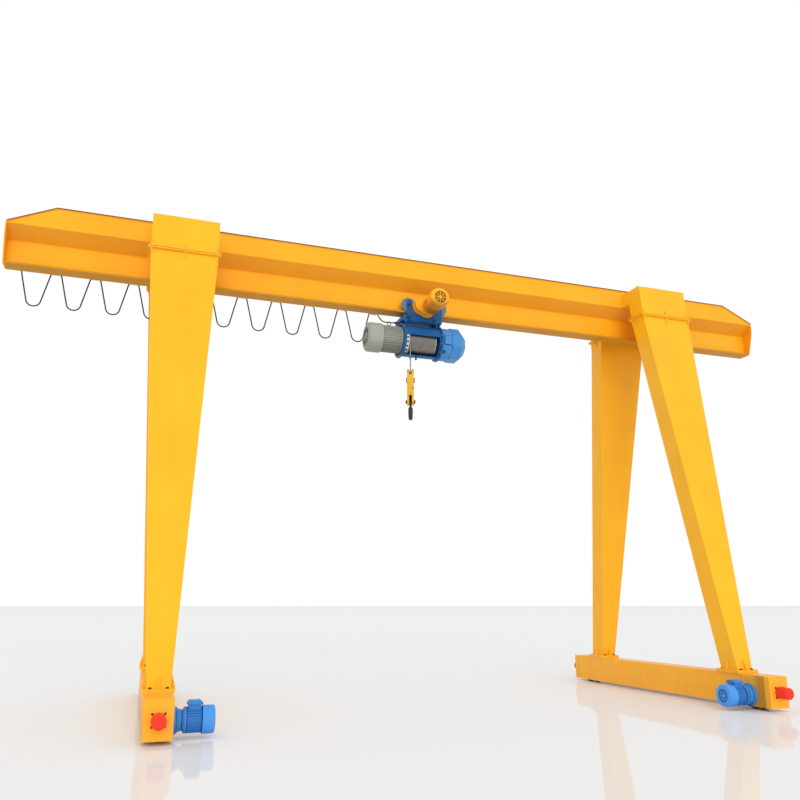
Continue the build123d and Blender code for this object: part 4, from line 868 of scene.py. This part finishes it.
class CRANE_OT_bolts(bpy.types.Operator):
    """Fit the bolts of the leg joints, the feet and the buffer seats"""

    bl_idname = "crane.bolts"
    bl_label = "Bolts"

    def execute(self, context):
        size = sizes()
        joints, feet, seats = [], [], []
        joint_pattern = pairs((-0.27, -0.18, -0.09, 0.09, 0.18, 0.27), (-0.140, 0.140))
        joint_pattern += pairs((-0.374, 0.374), (-0.065, 0.065))
        for (side_name, side), end_name in pairs(SIDES.items(), ENDS):
            low, high = low_high(f"leg_{side_name}_{end_name}")
            x = (low[0] + high[0]) / 2
            over = low_high(f"bracket_{side_name}_{end_name}")[0][2] + JOINT_FLANGE
            under = high[2] - JOINT_FLANGE
            for dx, dy in joint_pattern:
                y = side * JOINT_Y + dy
                joints += [((x + dx, y, over), (0, 0, 1)), ((x + dx, y, under), (0, 0, -1))]
            for dx, dy in pairs((-0.072, 0.072), (-0.150, 0.150)):
                feet.append(((x + dx, side * FOOT_Y + dy, low[2] + FOOT_FLANGE), (0, 0, 1)))
        face = low_high("carriage_left")[1][1]
        for end, side in pairs(ENDS.values(), SIDES.values()):
            for dx, dz in pairs((-0.050, 0.050), (-0.050, 0.050)):
                seats.append(((end * CARRIAGE_X + dx, side * face, BUFFER_Z + dz), (0, side, 0)))
        for name, bolts, washer, finish, slot in (
            ("joint_bolts", joints, size.joint_bolt, "leg", "yellow_paint"),
            ("foot_bolts", feet, size.foot_bolt, "bolt", "dark_steel"),
            ("buffer_bolts", seats, size.joint_bolt * 0.8, "bolt", "dark_steel"),
        ):
            places, ways = np.array(bolts, float).transpose(1, 0, 2)
            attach(make_piece(name, [bolt_heads(places, ways, washer)], finish), "gantry")
        return {"FINISHED"}


class CRANE_OT_welds(bpy.types.Operator):
    """Lay weld beads where the plates of girder, brackets and legs meet"""

    bl_idname = "crane.welds"
    bl_label = "Welds"

    def execute(self, context):
        bead = sizes().weld
        web_end = low_high("girder_web")[1][0] - 0.02
        nose_start, under_top = 4.48, low_high("girder_front_plate")[1][2] - 0.001
        web_face, slope_foot = 0.008, 5.004
        plate_y, bracket_half, bracket_low, bracket_top = 0.180, 0.36, 5.128, 5.300
        seams, starts, ends = [], [], []
        for side in SIDES.values():
            rows = ((web_end, web_face, slope_foot), (nose_start, plate_y + 0.0005, under_top))
            seams += [((-half, side * y, z), (half, side * y, z)) for half, y, z in rows]
        seam_starts, seam_ends = np.array(seams).transpose(1, 0, 2)
        for (side_name, side), end_name in pairs(SIDES.items(), ENDS):
            x = np.mean(low_high(f"leg_{side_name}_{end_name}"), 0)[0]
            joint_z = low_high(f"bracket_{side_name}_{end_name}")[0][2]
            left, right, y = x - bracket_half, x + bracket_half, side * plate_y
            starts += [(left, y, bracket_top), (left, y, bracket_low), (right, y, bracket_low)]
            ends += [(right, y, bracket_top), (left, y, bracket_top), (right, y, bracket_top)]
            # Rings round bracket foot, leg top and leg foot: level, half width, outer and inner side
            rings = (
                (joint_z + 0.017, bracket_half, side * 0.6195, side * 0.3730),
                (joint_z - 0.017, bracket_half, side * 0.6225, side * 0.3725),
                (0.392, 0.102, side * 1.4550, side * 1.2050),
            )
            for z, half, outer, inner in rings:
                left, right = x - half, x + half
                corners = [(left, outer, z), (right, outer, z), (right, inner, z), (left, inner, z)]
                starts += corners
                ends += corners[1:] + corners[:1]
        beads = weld_beads(seam_starts, seam_ends, bead, 0.012)
        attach(make_piece("girder_seams", [beads], "girder", 60.0), "gantry")
        beads = weld_beads(starts, ends, bead)
        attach(make_piece("frame_welds", [beads], "leg", 60.0), "gantry")
        return {"FINISHED"}


class CRANE_OT_fans(bpy.types.Operator):
    """Set dark discs of painted shade behind the openings of the motors' fan covers"""

    bl_idname = "crane.fans"
    bl_label = "Fan openings"

    def execute(self, context):
        depth = 0.0085
        hoist_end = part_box("hoist_fan_cover")[0].x
        low, high = low_high("trolley_motor")
        trolley_end = ((low[0] + high[0]) / 2, low[1] + depth, (low[2] + high[2]) / 2)
        covers = [
            ("hoist_fan_opening_shade", 0.083, (hoist_end + depth, 0.0, HOIST_Z), (-1, 0, 0), "trolley"),
            ("trolley_fan_opening_shade", 0.071, trolley_end, (0, -1, 0), "trolley"),
        ]
        for end_name, end in ENDS.items():
            low, high = low_high(f"travel_motor_{end_name}")
            place = ((low if end > 0 else high)[0] + end * depth, (low[1] + high[1]) / 2, DRIVE_Z)
            covers.append((f"travel_fan_opening_shade_{end_name}", 0.067, place, (-end, 0, 0), "gantry"))
        # The discs are painted shade: near black on the hoist and trolley, a halved hoist blue on the drives
        looks = {"trolley": ("recess", "black_cable"), "gantry": ("hollow", "blue_paint")}
        for name, radius, place, axis, body in covers:
            finish, slot = looks[body]
            hub, dish, rise = radius * 0.2, radius * 0.6, 0.0008
            profile = [(hub, -0.001), (radius, -0.001), (radius, 0.0), (dish, rise), (hub, rise)]
            made = make_piece(name, [turned(profile, place, axis, 40)], finish)
            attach(made, body)
        return {"FINISHED"}


class CRANE_OT_hoist_trim(bpy.types.Operator):
    """Fit the bolts, screws, axle caps, plug and limit stub of hoist and trolley"""

    bl_idname = "crane.hoist_trim"
    bl_label = "Hoist trim"

    def execute(self, context):
        size = sizes()
        shell = low_high("hoist_shell")
        ring_radius, ring_thick = 0.213, 0.018
        angle = radians(15.0) + full_turn(12)
        heads = []
        for x, way in ((shell[0][0] + ring_thick, 1), (shell[1][0] - ring_thick, -1)):
            ring = upright_circle((x, 0.0, HOIST_Z), ring_radius, angle, 1)
            heads.append(bolt_heads(ring, (way, 0, 0), size.small_bolt))
        plate_y, case_thick, screw_circle = 0.129, 0.016, 0.0905
        gear_places = []
        for (x, z), start in (((-0.216, 4.776), 75.0), ((-0.127, 4.736), 255.0)):
            turn = np.radians(start + np.arange(5) * 36.0)
            gear_places.append(upright_circle((x, -plate_y - case_thick, z), screw_circle, turn, 0))
        heads.append(bolt_heads(np.concatenate(gear_places), (0, -1, 0), size.screw * 0.85))
        box_x, box_y = low_high("hoist_gearbox")[0][:2]
        corners = pairs((-0.036, 0.036), (-0.050, 0.050))
        panel = [(box_x + PANEL_X + dx, box_y, HOIST_Z + dz) for dx, dz in corners]
        heads.append(bolt_heads(panel, (0, -1, 0), size.screw))
        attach(make_piece("hoist_bolts", heads, "zinc"), "trolley")
        cap_height, axle_x, axle_step, axle_z = 0.011, -0.150, 0.210, 4.7953
        cap = [(0.026, -0.001), (0.026, 0.008), (0.022, cap_height), (0.010, cap_height)]
        ends = pairs(SIDES.values(), ENDS.values())
        axle_places = np.array([(axle_x + end * axle_step, side * plate_y, axle_z) for side, end in ends])
        axle_ways = np.array([(0, side, 0) for side, end in ends])
        caps = [turned(cap, axle_places, axle_ways, 24)]
        caps.append(bolt_heads(axle_places + cap_height * axle_ways, axle_ways, size.small_bolt))
        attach(make_piece("trolley_axle_caps", caps, "iron"), "trolley")
        plug = [(0.026, -0.003), (0.026, 0.008), (0.022, 0.011), (0.009, 0.011)]
        slant = sqrt(0.5)
        vent = turned(plug, (box_x + 0.030, -0.1447, 4.213), (0, -slant, -slant), 18)
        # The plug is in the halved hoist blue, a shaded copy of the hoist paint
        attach(make_piece("gearbox_plug", [vent], "hollow"), "trolley")
        stub = [(0.009, -0.003), (0.009, 0.030), (0.013, 0.031), (0.013, 0.050), (0.007, 0.053)]
        under = turned(stub, (-0.237, -0.030, 4.1525), (0, 0, -1), 16)
        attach(make_piece("rope_limit_stub", [under], "iron"), "trolley")
        return {"FINISHED"}


class CRANE_OT_drive_trim(bpy.types.Operator):
    """Fit the bolts and lid screws of the travel drives"""

    bl_idname = "crane.drive_trim"
    bl_label = "Drive trim"

    def execute(self, context):
        size = sizes()
        heads = []
        ring_radius, ring_depth, lid_reach = 0.0985, 0.024, 0.0625
        angle = radians(30.0) + full_turn(6)
        for end_name, end in ENDS.items():
            low, high = low_high(f"travel_reducer_{end_name}")
            inner = (low if end > 0 else high)[0]
            y = (low[1] + high[1]) / 2
            ring = upright_circle((inner + end * ring_depth, y, DRIVE_Z), ring_radius, angle, 1)
            heads.append(bolt_heads(ring, (end, 0, 0), size.small_bolt * 0.8))
            lid_z = low_high(f"travel_motor_{end_name}")[1][2]
            corners = pairs((-0.034, 0.034), (-0.032, 0.032))
            lid = [(inner - end * lid_reach + dx, y + dy, lid_z) for dx, dy in corners]
            heads.append(bolt_heads(lid, (0, 0, 1), size.screw))
        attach(make_piece("drive_bolts", heads, "zinc"), "gantry")
        return {"FINISHED"}


class CRANE_OT_stage(bpy.types.Operator):
    """Set floor, light and camera"""

    bl_idname = "crane.stage"
    bl_label = "Stage"

    def execute(self, context):
        stage = context.scene.crane_stage
        self.floor(stage)
        self.world(stage)
        lamp = bpy.data.lights.new("front_light", "SUN")
        lamp.angle = stage.softness
        lamp.energy = stage.key
        holder = bpy.data.objects.new("front_light", lamp)
        holder.rotation_euler = Vector((0.10, 1.0, -0.30)).to_track_quat("-Z", "Y").to_euler()
        holder.visible_glossy = False
        context.scene.collection.objects.link(holder)
        self.camera(context)
        context.scene.view_settings.view_transform = "Standard"
        return {"FINISHED"}

    def floor(self, stage):
        """A wide plain floor with a faint mirror share."""
        half = 600.0
        mesh = bpy.data.meshes.new("floor")
        corners = [(-half, -half, 0), (half, -half, 0), (half, half, 0), (-half, half, 0)]
        mesh.from_pydata(corners, [], [(0, 1, 2, 3)])
        material = bpy.data.materials.new("floor")
        material.use_nodes = True
        tree = material.node_tree
        tree.nodes.remove(tree.nodes["Principled BSDF"])
        matt = tree.nodes.new("ShaderNodeBsdfDiffuse")
        matt.inputs["Color"].default_value = (*stage.floor_colour, 1.0)
        mirror = tree.nodes.new("ShaderNodeBsdfGlossy")
        mirror.inputs["Roughness"].default_value = stage.blur
        both = tree.nodes.new("ShaderNodeMixShader")
        both.inputs[0].default_value = stage.gloss
        tree.links.new(matt.outputs[0], both.inputs[1])
        tree.links.new(mirror.outputs[0], both.inputs[2])
        tree.links.new(both.outputs[0], tree.nodes["Material Output"].inputs["Surface"])
        mesh.materials.append(material)
        floor = bpy.data.objects.new("floor", mesh)
        bpy.context.scene.collection.objects.link(floor)

    def world(self, stage):
        """Even light on the object; camera, mirror and clear rays see plain white."""
        world = bpy.data.worlds.new("studio")
        bpy.context.scene.world = world
        world.use_nodes = True
        tree = world.node_tree
        path = tree.nodes.new("ShaderNodeLightPath")
        seen = path.outputs["Is Camera Ray"]
        for name in ("Is Glossy Ray", "Is Transmission Ray"):
            either = tree.nodes.new("ShaderNodeMath")
            either.operation = "MAXIMUM"
            tree.links.new(seen, either.inputs[0])
            tree.links.new(path.outputs[name], either.inputs[1])
            seen = either.outputs[0]
        level = tree.nodes.new("ShaderNodeMix")
        level.inputs[2].default_value = stage.ambient
        level.inputs[3].default_value = 1.0
        tree.links.new(seen, level.inputs[0])
        tree.links.new(level.outputs[0], tree.nodes["Background"].inputs["Strength"])
        tree.nodes["Background"].inputs["Color"].default_value = (1.0, 1.0, 1.0, 1.0)

    def camera(self, context):
        """The photograph's viewpoint: low at the left front, looking up at the girder."""
        yaw, pitch = 0.3233, 0.2285
        lens = bpy.data.cameras.new("camera")
        lens.lens = 34.52
        lens.shift_x, lens.shift_y = 0.0018, 0.0328
        lens.sensor_width = 36.0
        lens.clip_end = 2000.0
        holder = bpy.data.objects.new("camera", lens)
        holder.location = (-3.377, -8.716, 1.097)
        ahead = Vector((sin(yaw) * cos(pitch), cos(yaw) * cos(pitch), sin(pitch)))
        holder.rotation_euler = ahead.to_track_quat("-Z", "Y").to_euler()
        context.scene.collection.objects.link(holder)
        context.scene.camera = holder


STEPS = (
    CRANE_OT_finishes, CRANE_OT_cable, CRANE_OT_rope, CRANE_OT_bolts, CRANE_OT_welds, CRANE_OT_fans,
    CRANE_OT_hoist_trim, CRANE_OT_drive_trim, CRANE_OT_stage,
)


class CRANE_PT_panel(bpy.types.Panel):
    """Lists the settings and the steps of the dressing"""

    bl_label = "Gantry crane"
    bl_space_type = "VIEW_3D"
    bl_region_type = "UI"
    bl_category = "Crane"

    def draw(self, context):
        for group in (context.scene.crane_colours, context.scene.crane_sizes, context.scene.crane_stage):
            for name in group.__annotations__:
                self.layout.prop(group, name)
        for step in STEPS:
            self.layout.operator(step.bl_idname)


GROUPS = {"crane_colours": CraneColours, "crane_sizes": CraneSizes, "crane_stage": CraneStage}


def register():
    """Register the settings, the steps and the panel."""
    for cls in (*GROUPS.values(), *STEPS, CRANE_PT_panel):
        bpy.utils.register_class(cls)
    for name, group in GROUPS.items():
        setattr(bpy.types.Scene, name, bpy.props.PointerProperty(type=group))


def unregister():
    """Take away all that register added."""
    for name in GROUPS:
        delattr(bpy.types.Scene, name)
    for cls in (CRANE_PT_panel, *reversed(STEPS), *GROUPS.values()):
        bpy.utils.unregister_class(cls)


def main():
    """Run the steps in order."""
    register()
    for step in STEPS:
        group, name = step.bl_idname.split(".")
        getattr(getattr(bpy.ops, group), name)()


if __name__ == "__main__":
    main()
